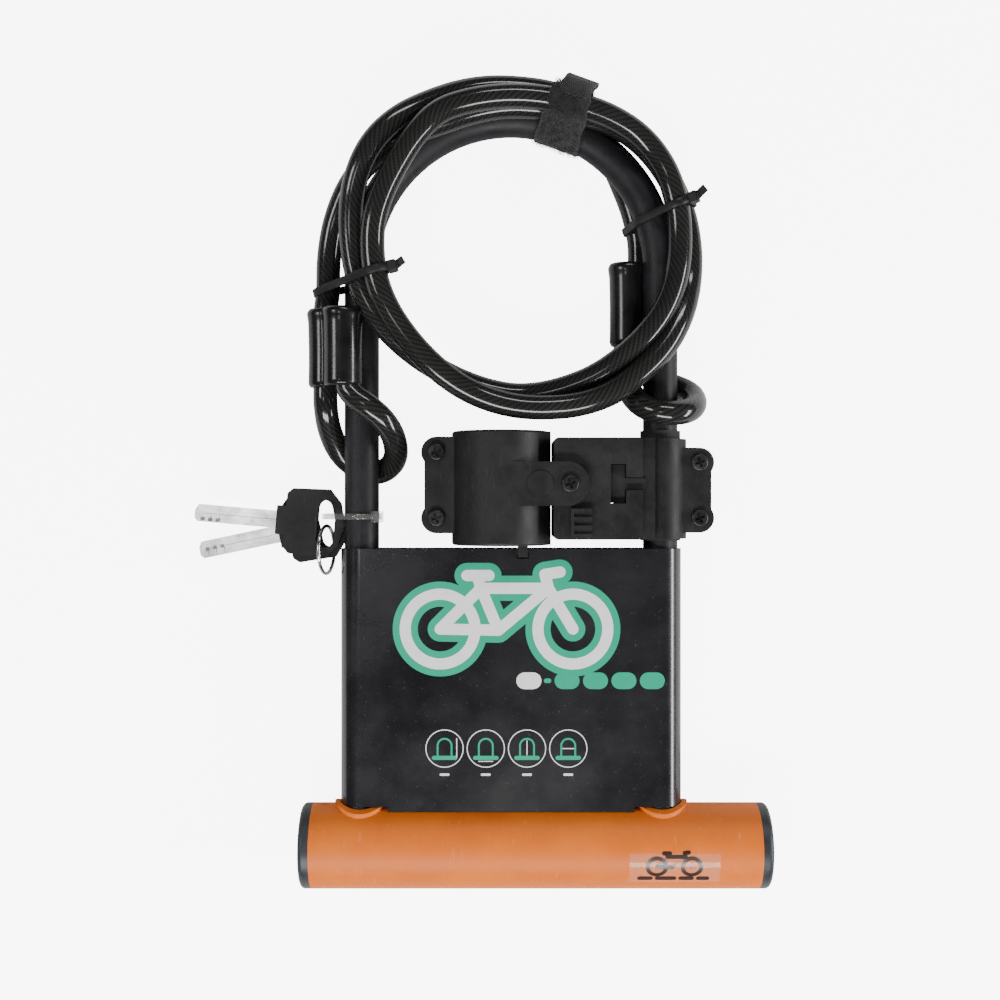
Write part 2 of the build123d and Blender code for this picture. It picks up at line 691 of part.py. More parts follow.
def clamp_shell(side):
    """Half of the frame clamp: side 1 is the upper jaw, side -1 the lower one."""
    shell = rod_along_y(clamp_radius, frame_clamp_low, frame_clamp_high, clamp_x, clamp_z)
    shell = fillet(shell.edges().filter_by(GeomType.CIRCLE), 1.2)
    ear_bottom, ear_top = clamp_z - ear_half_height, clamp_z + ear_half_height
    edge = frame_ear_x - frame_ear_radius + 1.4
    ear_low, ear_high = frame_ear_places[0] - frame_ear_radius, frame_ear_places[1] + frame_ear_radius
    ears = box(edge, clamp_x - 17, *frame_ear_places, ear_bottom, ear_top)
    ears = ears + box(frame_ear_x, clamp_x - 17, ear_low, ear_high, ear_bottom, ear_top)
    for y in frame_ear_places:
        ears = ears + rod_along_z(frame_ear_radius, ear_bottom, ear_top, frame_ear_x, y)
    shell = shell + ears
    if side > 0:
        shell = shell + tongue()
    shell = shell - rod_along_y(clamp_liner_radius() + 0.05, 100, 200, clamp_x, clamp_z)
    gap = 0.6
    low, high = (clamp_z + gap, 80) if side > 0 else (-20, clamp_z - gap)
    return shell & box(-60, 60, 100, 200, low, high)


def knuckles(side):
    """Hinge knuckles on the right edge: the outer two belong to the upper jaw."""
    spans = (knuckle_spans[0], knuckle_spans[2]) if side > 0 else (knuckle_spans[1],)
    barrels = [rod_along_y(knuckle_radius, y0, y1, knuckle_x, clamp_z) for y0, y1 in spans]
    return barrels


def jaw(side):
    shell = clamp_shell(side)
    other = knuckle_spans[1:2] if side > 0 else (knuckle_spans[0], knuckle_spans[2])
    for y0, y1 in other:
        shell = shell - rod_along_y(knuckle_radius + 0.3, y0 - 0.3, y1 + 0.3, knuckle_x, clamp_z)
    for barrel in knuckles(side):
        shell = shell + barrel
    shell = shell - rod_along_y(clamp_liner_radius() + 0.05, 100, 200, clamp_x, clamp_z)
    shell = shell - rod_along_y(hinge_pin_radius + 0.05, 100, 200, knuckle_x, clamp_z)
    for y in frame_ear_places:
        shell = shell - rod_along_z(screw_radius + 0.02, 0, 60, frame_ear_x, y)
        if side < 0:
            shell = shell - rod_along_z(nut_pocket_radius, 0, clamp_z - 3.8, frame_ear_x, y)
    return shell


def tongue():
    """Arm of the upper jaw that lies on the block under the tongue screw."""
    z0 = block_top + 0.1
    sides = (tongue_y - tongue_half, tongue_y + tongue_half)
    arm = box(clamp_x + 2, tongue_screw_x, *sides, z0, z0 + tongue_thickness)
    end = rod_along_z(9.3, z0, z0 + tongue_thickness, tongue_screw_x - 1, tongue_y)
    root = box(clamp_x + 2, block_left - 0.5, *sides, clamp_z + 4, z0 + tongue_thickness)
    boss = rod_along_z(5.5, z0 + tongue_thickness, z0 + tongue_thickness + 0.5, 12.2, tongue_y)
    hole = rod_along_z(screw_radius + 0.02, z0 - 1, z0 + 10, tongue_screw_x, tongue_y)
    return arm + end + root + boss - hole


def frame_clamp_upper():
    return jaw(1)


def frame_clamp_lower():
    return jaw(-1)


def frame_liner():
    """Rubber liner in the two jaws, split where they part."""
    liner = rod_along_y(clamp_liner_radius(), frame_clamp_low + 2, frame_clamp_high - 2, clamp_x, clamp_z)
    liner = liner - rod_along_y(frame_tube_radius, 100, 200, clamp_x, clamp_z)
    return liner - box(clamp_x - 30, clamp_x, 100, 200, clamp_z - 0.6, clamp_z + 0.6)


def frame_clamp_screws():
    top, bottom = clamp_z + ear_half_height, clamp_z - ear_half_height
    return Compound([clamp_screw(frame_ear_x, y, top, bottom) for y in frame_ear_places])


def frame_clamp_nuts():
    return Compound([hex_nut(frame_ear_x, y, clamp_z - 6.8, clamp_z - 3.9) for y in frame_ear_places])


def clamp_hinge_pin():
    return rod_along_y(hinge_pin_radius, frame_clamp_low + 0.5, frame_clamp_high - 0.5, knuckle_x, clamp_z)


# ---------------------------------------------------------------- the whole lock

def build_nodes():
    return {
        "crossbar_tube": crossbar_tube(),
        "crossbar_sleeve": crossbar_sleeve(),
        "end_cap_left": end_cap_left(),
        "end_cap_right": end_cap_right(),
        "leg_guides": leg_guides(),
        "foot_seats": foot_seats(),
        "cylinder_body": cylinder_body(),
        "cylinder_pins": cylinder_pins(),
        "rod_bearings": rod_bearings(),
        "cover_pin": cover_pin(),
        "lock_plug": lock_plug(),
        "lock_wafers": lock_wafers(),
        "locking_rod": locking_rod(),
        "dust_cover": dust_cover(),
        "shackle_bar": shackle_bar(),
        "shackle_sleeve": shackle_sleeve(),
        "card_sleeve": card_sleeve(),
        "card_tie": card_tie(),
        "strap": strap(),
        "zip_tie_left": zip_tie_left(),
        "zip_tie_right": zip_tie_right(),
        "cable_coil": cable_coil(),
        "cable_tail": cable_tube("cable_tail", tail_places),
        "cable_loop_left": cable_tube("cable_loop_left", left_loop_places),
        "cable_loop_right": cable_tube("cable_loop_right", right_loop_places),
        "crimp_left": crimp(left_lobes, left_cover),
        "crimp_right": crimp(right_lobes, right_cover),
        "crimp_cover_left": crimp_cover(left_lobes, left_cover),
        "crimp_cover_right": crimp_cover(right_lobes, right_cover),
        "key_tie": key_tie(),
        "shackle_clamp": shackle_clamp(),
        "shackle_liner": shackle_liner(),
        "shackle_clamp_screws": shackle_clamp_screws(),
        "shackle_clamp_nuts": shackle_clamp_nuts(),
        "bracket_block": bracket_block(),
        "frame_clamp_upper": frame_clamp_upper(),
        "frame_clamp_lower": frame_clamp_lower(),
        "frame_liner": frame_liner(),
        "frame_clamp_screws": frame_clamp_screws(),
        "frame_clamp_nuts": frame_clamp_nuts(),
        "clamp_hinge_pin": clamp_hinge_pin(),
        "tongue_screw": tongue_screw(),
        "tongue_nut": tongue_nut(),
        "button_spring": button_spring(),
        "release_button": release_button(),
        "key_1_bow": key_bow(1),
        "key_1_blade": key_blade(1),
        "key_2_bow": key_bow(0),
        "key_2_blade": key_blade(0),
        "key_ring": key_ring(),
    }


cord_nodes = ["cable_coil", "cable_tail", "cable_loop_left", "cable_loop_right",
              "crimp_left", "crimp_right", "crimp_cover_left", "crimp_cover_right"]


def shift_to_origin(nodes):
    """Put the origin under the centre of everything but the cable and its crimps."""
    solid_nodes = [shape for name, shape in nodes.items() if name not in cord_nodes]
    bounds = [shape.bounding_box() for shape in solid_nodes]
    x = (min(b.min.X for b in bounds) + max(b.max.X for b in bounds)) / 2
    y = (min(b.min.Y for b in bounds) + max(b.max.Y for b in bounds)) / 2
    z = min(b.min.Z for b in bounds)
    print("origin shift", round(-x, 4), round(-y, 4), round(-z, 4))
    return {name: Pos(-x, -y, -z) * shape for name, shape in nodes.items()}


os.makedirs("parts", exist_ok=True)
for name, shape in shift_to_origin(build_nodes()).items():
    export_step(shape, "parts/" + name + ".step")
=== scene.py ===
import json
import math

import bmesh
import bpy
import numpy as np
from mathutils import Matrix, Vector


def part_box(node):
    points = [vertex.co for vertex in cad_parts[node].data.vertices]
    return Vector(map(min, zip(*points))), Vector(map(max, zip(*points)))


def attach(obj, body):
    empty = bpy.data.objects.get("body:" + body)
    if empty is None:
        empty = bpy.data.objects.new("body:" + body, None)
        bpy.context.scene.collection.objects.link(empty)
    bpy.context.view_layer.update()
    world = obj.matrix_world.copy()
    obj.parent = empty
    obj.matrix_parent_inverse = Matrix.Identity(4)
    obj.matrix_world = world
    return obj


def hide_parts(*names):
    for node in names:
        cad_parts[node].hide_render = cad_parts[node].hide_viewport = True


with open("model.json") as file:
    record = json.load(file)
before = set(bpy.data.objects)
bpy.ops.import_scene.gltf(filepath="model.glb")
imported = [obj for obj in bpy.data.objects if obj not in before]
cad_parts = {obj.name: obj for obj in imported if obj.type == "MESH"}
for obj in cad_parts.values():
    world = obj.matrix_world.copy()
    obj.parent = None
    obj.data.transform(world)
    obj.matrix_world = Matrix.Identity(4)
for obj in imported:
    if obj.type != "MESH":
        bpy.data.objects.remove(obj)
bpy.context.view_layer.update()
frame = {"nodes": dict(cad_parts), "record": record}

# Looks for a bicycle U lock that lies flat with its coiled cable, frame bracket, card and keys.
# Lengths are metres. Places are given from the crossbar's axis, X to the keyway, Y to the bend.

# ------------------------------------------------------------------ places from the frame

bar_low, bar_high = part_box("shackle_bar")
tube_low, tube_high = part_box("crossbar_tube")
lock_x = (bar_low.x + bar_high.x) / 2
lock_y = (tube_low.y + tube_high.y) / 2
axis_z = (tube_low.z + tube_high.z) / 2
bar_radius = 0.0070
vinyl_radius = 0.0075
leg_x = (bar_high.x - bar_low.x) / 2 - bar_radius
bend_y = bar_high.y - lock_y - bar_radius - leg_x
sleeve_radius = (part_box("end_cap_left")[1].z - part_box("end_cap_left")[0].z) / 2
cable_radius = 0.00525


def lock(x, y, z):
    """A place given from the crossbar's axis, with its height above the ground."""
    return Vector((lock_x + x, lock_y + y, z))


def round_bend(degrees, reach, height):
    """A place given by its direction and distance from the bend's centre."""
    turn = math.radians(degrees)
    return lock(reach * math.cos(turn), bend_y + reach * math.sin(turn), height)


# ------------------------------------------------------------------ camera and cable route

def camera():
    """Straight down over the lock, a little left of its middle."""
    distance = 0.590
    width = 0.436
    sensor = 36.0
    data = bpy.data.cameras.new("camera")
    data.sensor_width = sensor
    data.lens = sensor * distance / width
    data.clip_start = 0.01
    viewer = bpy.data.objects.new("camera", data)
    viewer.location = lock(-0.0048, 0.1504, axis_z + distance)
    bpy.context.scene.collection.objects.link(viewer)
    bpy.context.scene.camera = viewer


camera()

# The two loops and the tail are the places of the cable's tubes. The coil is worked out below.
left_loop = [
    (-0.0806, 0.1989, 0.0210), (-0.0806, 0.1905, 0.0210), (-0.0796, 0.1800, 0.0145),
    (-0.0750, 0.1695, 0.0080), (-0.0660, 0.1630, 0.0054), (-0.0570, 0.1622, 0.0075),
    (-0.0500, 0.1680, 0.0155), (-0.0500, 0.1770, 0.0250), (-0.0545, 0.1850, 0.0318),
    (-0.0610, 0.1905, 0.0340), (-0.0675, 0.1950, 0.0330), (-0.0706, 0.2000, 0.0315)]
right_loop = [
    (0.0572, 0.2179, 0.0066), (0.0572, 0.2110, 0.0066), (0.0630, 0.2040, 0.0054),
    (0.0720, 0.2015, 0.0056), (0.0795, 0.1975, 0.0115), (0.0802, 0.1920, 0.0220),
    (0.0755, 0.1880, 0.0315), (0.0655, 0.1870, 0.0350), (0.0560, 0.1900, 0.0300),
    (0.0508, 0.1975, 0.0220), (0.0502, 0.2075, 0.0149), (0.0502, 0.2179, 0.0149)]
tail = [
    (0.0195, 0.3282, 0.0175), (0.0295, 0.3230, 0.0135), (0.0370, 0.3160, 0.0088),
    (0.0425, 0.3065, 0.0055), (0.0485, 0.2930, 0.0054), (0.0538, 0.2800, 0.0058),
    (0.0572, 0.2660, 0.0066), (0.0572, 0.2541, 0.0066)]

# How the coil winds clockwise round the bend: direction in degrees, reach and height in mm.
coil_winding = [
    (188, 80.2, 20.4), (170, 79.6, 19.0), (160, 79.4, 21.5), (145, 76.8, 28.0), (132, 72.0, 30.8),
    (120, 68.0, 31.3), (96, 67.5, 31.3), (70, 69.5, 31.5), (60, 73.5, 28.5), (52, 77.0, 24.5),
    (44, 79.0, 20.5), (35, 79.8, 18.6), (5, 78.9, 18.6), (-7, 77.8, 21.8), (-14, 76.9, 26.8),
    (-25, 75.6, 31.0), (-39, 72.0, 33.6), (-50, 70.6, 34.0), (-78, 62.8, 33.0), (-88, 60.8, 33.0),
    (-110, 57.0, 34.5), (-128, 54.8, 37.0), (-145, 54.5, 38.2), (-160, 56.0, 39.0),
    (-170, 57.3, 38.8), (-180, 58.4, 38.5), (-195, 60.5, 39.5), (-215, 62.3, 41.0),
    (-228, 64.8, 41.6), (-240, 69.5, 42.0), (-252, 69.2, 42.0), (-264, 68.8, 42.0),
    (-290, 70.2, 42.0), (-300, 72.8, 39.3), (-308, 76.3, 35.3), (-316, 78.2, 31.5),
    (-325, 78.6, 29.6), (-340, 76.0, 29.3), (-357, 72.3, 29.4), (-369, 70.5, 30.7),
    (-380, 67.6, 31.4), (-395, 63.0, 30.8), (-406, 61.0, 29.5), (-425, 57.5, 25.5),
    (-447, 55.6, 22.8), (-470, 53.8, 24.0), (-488, 54.8, 26.3), (-505, 58.0, 28.0),
    (-520, 62.2, 30.4), (-530, 65.0, 31.2), (-540, 67.0, 31.3), (-555, 71.0, 33.0),
    (-565, 74.3, 36.0), (-575, 76.8, 38.7), (-588, 78.2, 38.2), (-600, 77.5, 32.8),
    (-612, 78.8, 25.8), (-624, 79.2, 20.5), (-636, 79.5, 18.5)]
coil_step = 12                # degrees between two places of the coil


def eased(keys, at):
    """The keys' values at a direction, on smooth curves through them."""
    known = np.array(keys, float)[::-1]
    i = int(np.clip(np.searchsorted(known[:, 0], at) - 1, 0, len(known) - 2))
    slopes = np.gradient(known[:, 1:], known[:, 0], axis=0)
    span = known[i + 1, 0] - known[i, 0]
    t = (at - known[i, 0]) / span
    start, end = known[i, 1:], known[i + 1, 1:]
    bend = (2 * t**3 - 3 * t**2 + 1) * start + (3 * t**2 - 2 * t**3) * end
    return bend + span * ((t**3 - 2 * t**2 + t) * slopes[i] + (t**3 - t**2) * slopes[i + 1])


def coil_places():
    """The coil's turns, one place every coil_step degrees."""
    places = []
    at = coil_winding[0][0]
    while at >= coil_winding[-1][0]:
        reach, height = eased(coil_winding, at) / 1000
        places.append(round_bend(at, reach, height))
        at -= coil_step
    return places


def cable_route():
    """The whole cable, from inside one crimp to inside the other."""
    start = lock(-0.0706, 0.2300, 0.0315)
    first = [lock(*place) for place in reversed(left_loop)]
    rise = [lock(-0.0806, 0.2160, 0.0210), lock(-0.0806, 0.2330, 0.0210)]
    last = [lock(*place) for place in tail + right_loop]
    return [start] + first + rise + coil_places() + last + [lock(0.0502, 0.2510, 0.0149)]


def smooth_line(places):
    """Points on the smooth curve whose control points are the places."""
    curve = bpy.data.curves.new("route", "CURVE")
    curve.dimensions = "3D"
    spline = curve.splines.new("NURBS")
    spline.points.add(len(places) - 1)
    for point, place in zip(spline.points, places):
        point.co = (*place, 1.0)
    spline.order_u = 3
    spline.use_endpoint_u = True
    spline.resolution_u = 8
    holder = bpy.data.objects.new("route", curve)
    mesh = bpy.data.meshes.new_from_object(holder)
    line = [v.co.copy() for v in mesh.vertices]
    bpy.data.meshes.remove(mesh)
    bpy.data.objects.remove(holder)
    bpy.data.curves.remove(curve)
    return line


cable_line = smooth_line(cable_route())

# ------------------------------------------------------------------ shader groups

def new_group(name, inputs, outputs):
    """An empty shader group. Inputs are name and value, outputs are name and kind."""
    tree = bpy.data.node_groups.new(name, "ShaderNodeTree")
    for label, value in inputs:
        socket = tree.interface.new_socket(label, in_out="INPUT", socket_type="NodeSocketFloat")
        socket.default_value = value
    for label in outputs:
        tree.interface.new_socket(label, in_out="OUTPUT", socket_type="NodeSocketFloat")
    return tree, tree.nodes.new("NodeGroupInput"), tree.nodes.new("NodeGroupOutput")


def math_node(tree, operation, first, second=None, clamp=False):
    node = tree.nodes.new("ShaderNodeMath")
    node.operation = operation
    node.use_clamp = clamp
    for socket, value in zip(node.inputs, (first, second)):
        if value is None:
            continue
        if isinstance(value, (int, float)):
            socket.default_value = value
        else:
            tree.links.new(value, socket)
    return node.outputs[0]


def noise(tree, vector, scale, detail, roughness):
    node = tree.nodes.new("ShaderNodeTexNoise")
    node.inputs["Detail"].default_value = detail
    node.inputs["Roughness"].default_value = roughness
    tree.links.new(vector, node.inputs["Vector"])
    tree.links.new(scale, node.inputs["Scale"])
    return node.outputs["Fac"]


def contrast(tree, value, low, high):
    """The value stretched so that low becomes 0 and high becomes 1."""
    node = tree.nodes.new("ShaderNodeMapRange")
    node.inputs["From Min"].default_value = low
    node.inputs["From Max"].default_value = high
    tree.links.new(value, node.inputs["Value"])
    return node.outputs["Result"]


def grain_group():
    """Moulded grain: a fine height and a broad patchiness."""
    tree, given, result = new_group("moulded_grain", [("Grain Scale", 2500), ("Patch Scale", 60)],
                                    ["Height", "Patches"])
    place = tree.nodes.new("ShaderNodeTexCoord").outputs["Object"]
    fine = noise(tree, place, given.outputs["Grain Scale"], 3.0, 0.55)
    broad = noise(tree, place, given.outputs["Patch Scale"], 5.0, 0.62)
    tree.links.new(fine, result.inputs["Height"])
    tree.links.new(contrast(tree, broad, 0.34, 0.68), result.inputs["Patches"])
    return tree


def scuff_group():
    """Fine scratches and pale dust, as on handled plastic."""
    tree, given, result = new_group("handling_scuffs", [("Scratch Scale", 90), ("Dust Scale", 1400)],
                                    ["Scratches", "Dust"])
    place = tree.nodes.new("ShaderNodeTexCoord").outputs["Object"]
    stretch = tree.nodes.new("ShaderNodeMapping")
    stretch.inputs["Rotation"].default_value = (0.3, 0.2, 0.7)
    stretch.inputs["Scale"].default_value = (14.0, 1.0, 6.0)
    tree.links.new(place, stretch.inputs["Vector"])
    lines = noise(tree, stretch.outputs["Vector"], given.outputs["Scratch Scale"], 2.0, 0.5)
    specks = noise(tree, place, given.outputs["Dust Scale"], 2.0, 0.5)
    tree.links.new(contrast(tree, lines, 0.66, 0.74), result.inputs["Scratches"])
    tree.links.new(contrast(tree, specks, 0.68, 0.80), result.inputs["Dust"])
    return tree


def twist_group():
    """Wire strands wound round a cable: u runs round it and v along it in metres."""
    tree, given, result = new_group("wire_twist", [("Strands", 9), ("Turns", 42), ("Wires", 4)],
                                    ["Height", "Painted Shade"])
    flat = tree.nodes.new("ShaderNodeUVMap")
    parts = tree.nodes.new("ShaderNodeSeparateXYZ")
    tree.links.new(flat.outputs["UV"], parts.inputs["Vector"])
    around = math_node(tree, "MULTIPLY", parts.outputs["X"], given.outputs["Strands"])
    along = math_node(tree, "MULTIPLY", parts.outputs["Y"], given.outputs["Turns"])
    strands_a_turn = 9.0
    steps = math_node(tree, "MULTIPLY", along, strands_a_turn)
    strand = math_node(tree, "FRACT", math_node(tree, "ADD", around, steps))
    crown = math_node(tree, "SINE", math_node(tree, "MULTIPLY", strand, math.pi))
    counter = math_node(tree, "SUBTRACT", math_node(tree, "MULTIPLY", steps, given.outputs["Wires"]), around)
    wire = math_node(tree, "SINE", math_node(tree, "MULTIPLY", counter, 2 * math.pi))
    ripple = math_node(tree, "MULTIPLY", math_node(tree, "ADD", wire, 1.0), 0.18)
    height = math_node(tree, "ADD", math_node(tree, "POWER", crown, 0.6), ripple)
    tree.links.new(height, result.inputs["Height"])
    # Colour mask: lighter on the strand crowns and darker in the grooves between strands and wires. The
    # darker grooves are painted shade.
    shade = math_node(tree, "MULTIPLY", math_node(tree, "POWER", crown, 1.6),
                      math_node(tree, "ADD", ripple, 0.62), clamp=True)
    tree.links.new(shade, result.inputs["Painted Shade"])
    return tree


def ribbed_weave_group():
    """Woven tape: crossing ribs from the piece's own UV map, in metres. The colour output is darker in the
    weave's hollows: painted shade.
    """
    tree, given, result = new_group("tape_weave", [("Ribs", 1100), ("Picks", 900)], ["Height", "Painted Shade"])
    flat = tree.nodes.new("ShaderNodeUVMap")
    parts = tree.nodes.new("ShaderNodeSeparateXYZ")
    tree.links.new(flat.outputs["UV"], parts.inputs["Vector"])
    across = math_node(tree, "MULTIPLY", parts.outputs["X"], given.outputs["Ribs"])
    along = math_node(tree, "MULTIPLY", parts.outputs["Y"], given.outputs["Picks"])
    rib = math_node(tree, "SINE", math_node(tree, "MULTIPLY", across, 2 * math.pi))
    pick = math_node(tree, "SINE", math_node(tree, "MULTIPLY", along, 2 * math.pi))
    cloth = math_node(tree, "MULTIPLY", rib, pick)
    tree.links.new(math_node(tree, "ADD", math_node(tree, "MULTIPLY", cloth, 0.5), 0.5),
                   result.inputs["Height"])
    # The colour output follows the height: darker in the weave's hollows, as painted shade.
    tree.links.new(contrast(tree, cloth, -0.8, 0.9), result.inputs["Painted Shade"])
    return tree


grain = grain_group()
scuffs = scuff_group()
twist = twist_group()
tape_weave = ribbed_weave_group()

# ------------------------------------------------------------------ materials

def new_material(name, base, roughness, metallic=0.0, **sockets):
    """A material with plain values on its shader. Returns the material, its tree and shader."""
    material = bpy.data.materials.new(name)
    material.use_nodes = True
    shader = material.node_tree.nodes["Principled BSDF"]
    shader.inputs["Base Color"].default_value = (*base, 1.0)
    shader.inputs["Roughness"].default_value = roughness
    shader.inputs["Metallic"].default_value = metallic
    for label, value in sockets.items():
        shader.inputs[label.replace("_", " ").title().replace("Ior", "IOR")].default_value = value
    return material, material.node_tree, shader


def use_group(tree, group, **values):
    node = tree.nodes.new("ShaderNodeGroup")
    node.node_tree = group
    for label, value in values.items():
        node.inputs[label.replace("_", " ")].default_value = value
    return node


def colour_mix(tree, factor, low, high):
    node = tree.nodes.new("ShaderNodeMix")
    node.data_type = "RGBA"
    tree.links.new(factor, node.inputs["Factor"])
    for socket, value in ((node.inputs["A"], low), (node.inputs["B"], high)):
        if isinstance(value, tuple):
            socket.default_value = (*value, 1.0)
        else:
            tree.links.new(value, socket)
    return node.outputs["Result"]


def value_range(tree, value, low, high):
    node = tree.nodes.new("ShaderNodeMapRange")
    node.inputs["To Min"].default_value = low
    node.inputs["To Max"].default_value = high
    tree.links.new(value, node.inputs["Value"])
    return node.outputs["Result"]


def add_bump(tree, shader, height, strength, distance):
    node = tree.nodes.new("ShaderNodeBump")
    node.inputs["Strength"].default_value = strength
    node.inputs["Distance"].default_value = distance
    tree.links.new(height, node.inputs["Height"])
    tree.links.new(node.outputs["Normal"], shader.inputs["Normal"])


def grained(name, dark, light, rough, grain_scale=2500, patch_scale=60, bump=0.25, depth=0.0001,
            dust=(0.25, 0.25, 0.26), scratch_scale=90, metallic=0.0, **sockets):
    """Moulded or drawn surface: grain in the bump, patches in colour and gloss, light scuffs."""
    material, tree, shader = new_material(name, light, rough[0], metallic, **sockets)
    surface = use_group(tree, grain, Grain_Scale=grain_scale, Patch_Scale=patch_scale)
    marks = use_group(tree, scuffs, Scratch_Scale=scratch_scale, Dust_Scale=1400)
    body = colour_mix(tree, surface.outputs["Patches"], dark, light)
    marked = math_node(tree, "MULTIPLY", marks.outputs["Scratches"], 0.25)
    specked = math_node(tree, "ADD", marked, math_node(tree, "MULTIPLY", marks.outputs["Dust"], 0.35),
                        clamp=True)
    tree.links.new(colour_mix(tree, specked, body, dust), shader.inputs["Base Color"])
    tree.links.new(value_range(tree, surface.outputs["Patches"], *rough), shader.inputs["Roughness"])
    add_bump(tree, shader, surface.outputs["Height"], bump, depth)
    return material


def cable_material():
    """Smoky clear jacket: twisted wire in the base, with painted shade in the grooves between strands, under
    a smooth glossy coat.
    """
    material, tree, shader = new_material("smoky_cable", (0.05, 0.05, 0.05), 0.35, 0.0, coat_weight=1.0,
                                          coat_roughness=0.12, coat_ior=1.50, specular_ior_level=0.06)
    wire = use_group(tree, twist, Strands=14, Turns=36.0, Wires=2)
    surface = use_group(tree, grain, Grain_Scale=900, Patch_Scale=45)
    # Strand colour: lighter crowns and darker grooves. The darker grooves are painted shade, and the pattern
    # of the strands is real.
    strands_and_groove_shade = colour_mix(tree, wire.outputs["Painted Shade"], (0.008, 0.008, 0.008), (0.034, 0.034, 0.032))
    haze = math_node(tree, "MULTIPLY", surface.outputs["Patches"], 0.6)
    tree.links.new(colour_mix(tree, haze, strands_and_groove_shade, (0.007, 0.007, 0.007)), shader.inputs["Base Color"])
    tree.links.new(value_range(tree, wire.outputs["Painted Shade"], 0.55, 0.30), shader.inputs["Roughness"])
    add_bump(tree, shader, wire.outputs["Height"], 0.5, 0.0003)
    return material


def card_material():
    """Printed board: deep black ink under a glossy laminate with faint mottling."""
    material, tree, shader = new_material("laminated_board", (0.012, 0.012, 0.014), 0.22,
                                          coat_weight=0.6, coat_roughness=0.12)
    surface = use_group(tree, grain, Grain_Scale=700, Patch_Scale=22)
    marks = use_group(tree, scuffs, Scratch_Scale=40, Dust_Scale=900)
    ink = colour_mix(tree, surface.outputs["Patches"], (0.006, 0.006, 0.008), (0.017, 0.017, 0.019))
    worn = math_node(tree, "MULTIPLY", marks.outputs["Dust"], 0.35)
    tree.links.new(colour_mix(tree, worn, ink, (0.16, 0.16, 0.17)), shader.inputs["Base Color"])
    tree.links.new(value_range(tree, surface.outputs["Patches"], 0.20, 0.34), shader.inputs["Roughness"])
    add_bump(tree, shader, surface.outputs["Patches"], 0.10, 0.0006)
    return material


def ink_material(name, colour):
    """Printed ink with the faint unevenness of a printed solid."""
    material, tree, shader = new_material(name, colour, 0.35, coat_weight=0.4, coat_roughness=0.15)
    surface = use_group(tree, grain, Grain_Scale=1800, Patch_Scale=160)
    thin = tuple(part * 0.93 for part in colour)
    tree.links.new(colour_mix(tree, surface.outputs["Patches"], thin, colour), shader.inputs["Base Color"])
    add_bump(tree, shader, surface.outputs["Height"], 0.05, 0.00005)
    return material


def tape_material():
    """Black woven tape with a dull nap. Its colour is darker in the weave's hollows, as painted shade."""
    material, tree, shader = new_material("woven_tape", (0.012, 0.012, 0.013), 0.85,
                                          sheen_weight=0.25, sheen_roughness=0.5)
    cloth = use_group(tree, tape_weave, Ribs=1300, Picks=900)
    tree.links.new(colour_mix(tree, cloth.outputs["Painted Shade"], (0.003, 0.003, 0.004), (0.015, 0.015, 0.016)),
                   shader.inputs["Base Color"])
    add_bump(tree, shader, cloth.outputs["Height"], 0.7, 0.0004)
    return material


def clear_material(name, tint, alpha):
    """Clear plastic film or moulding, seen mostly by its shine."""
    material, tree, shader = new_material(name, tint, 0.12, alpha=alpha, coat_weight=1.0,
                                          coat_roughness=0.05)
    surface = use_group(tree, grain, Grain_Scale=900, Patch_Scale=120)
    tree.links.new(value_range(tree, surface.outputs["Patches"], 0.08, 0.20), shader.inputs["Roughness"])
    add_bump(tree, shader, surface.outputs["Height"], 0.08, 0.0001)
    return material


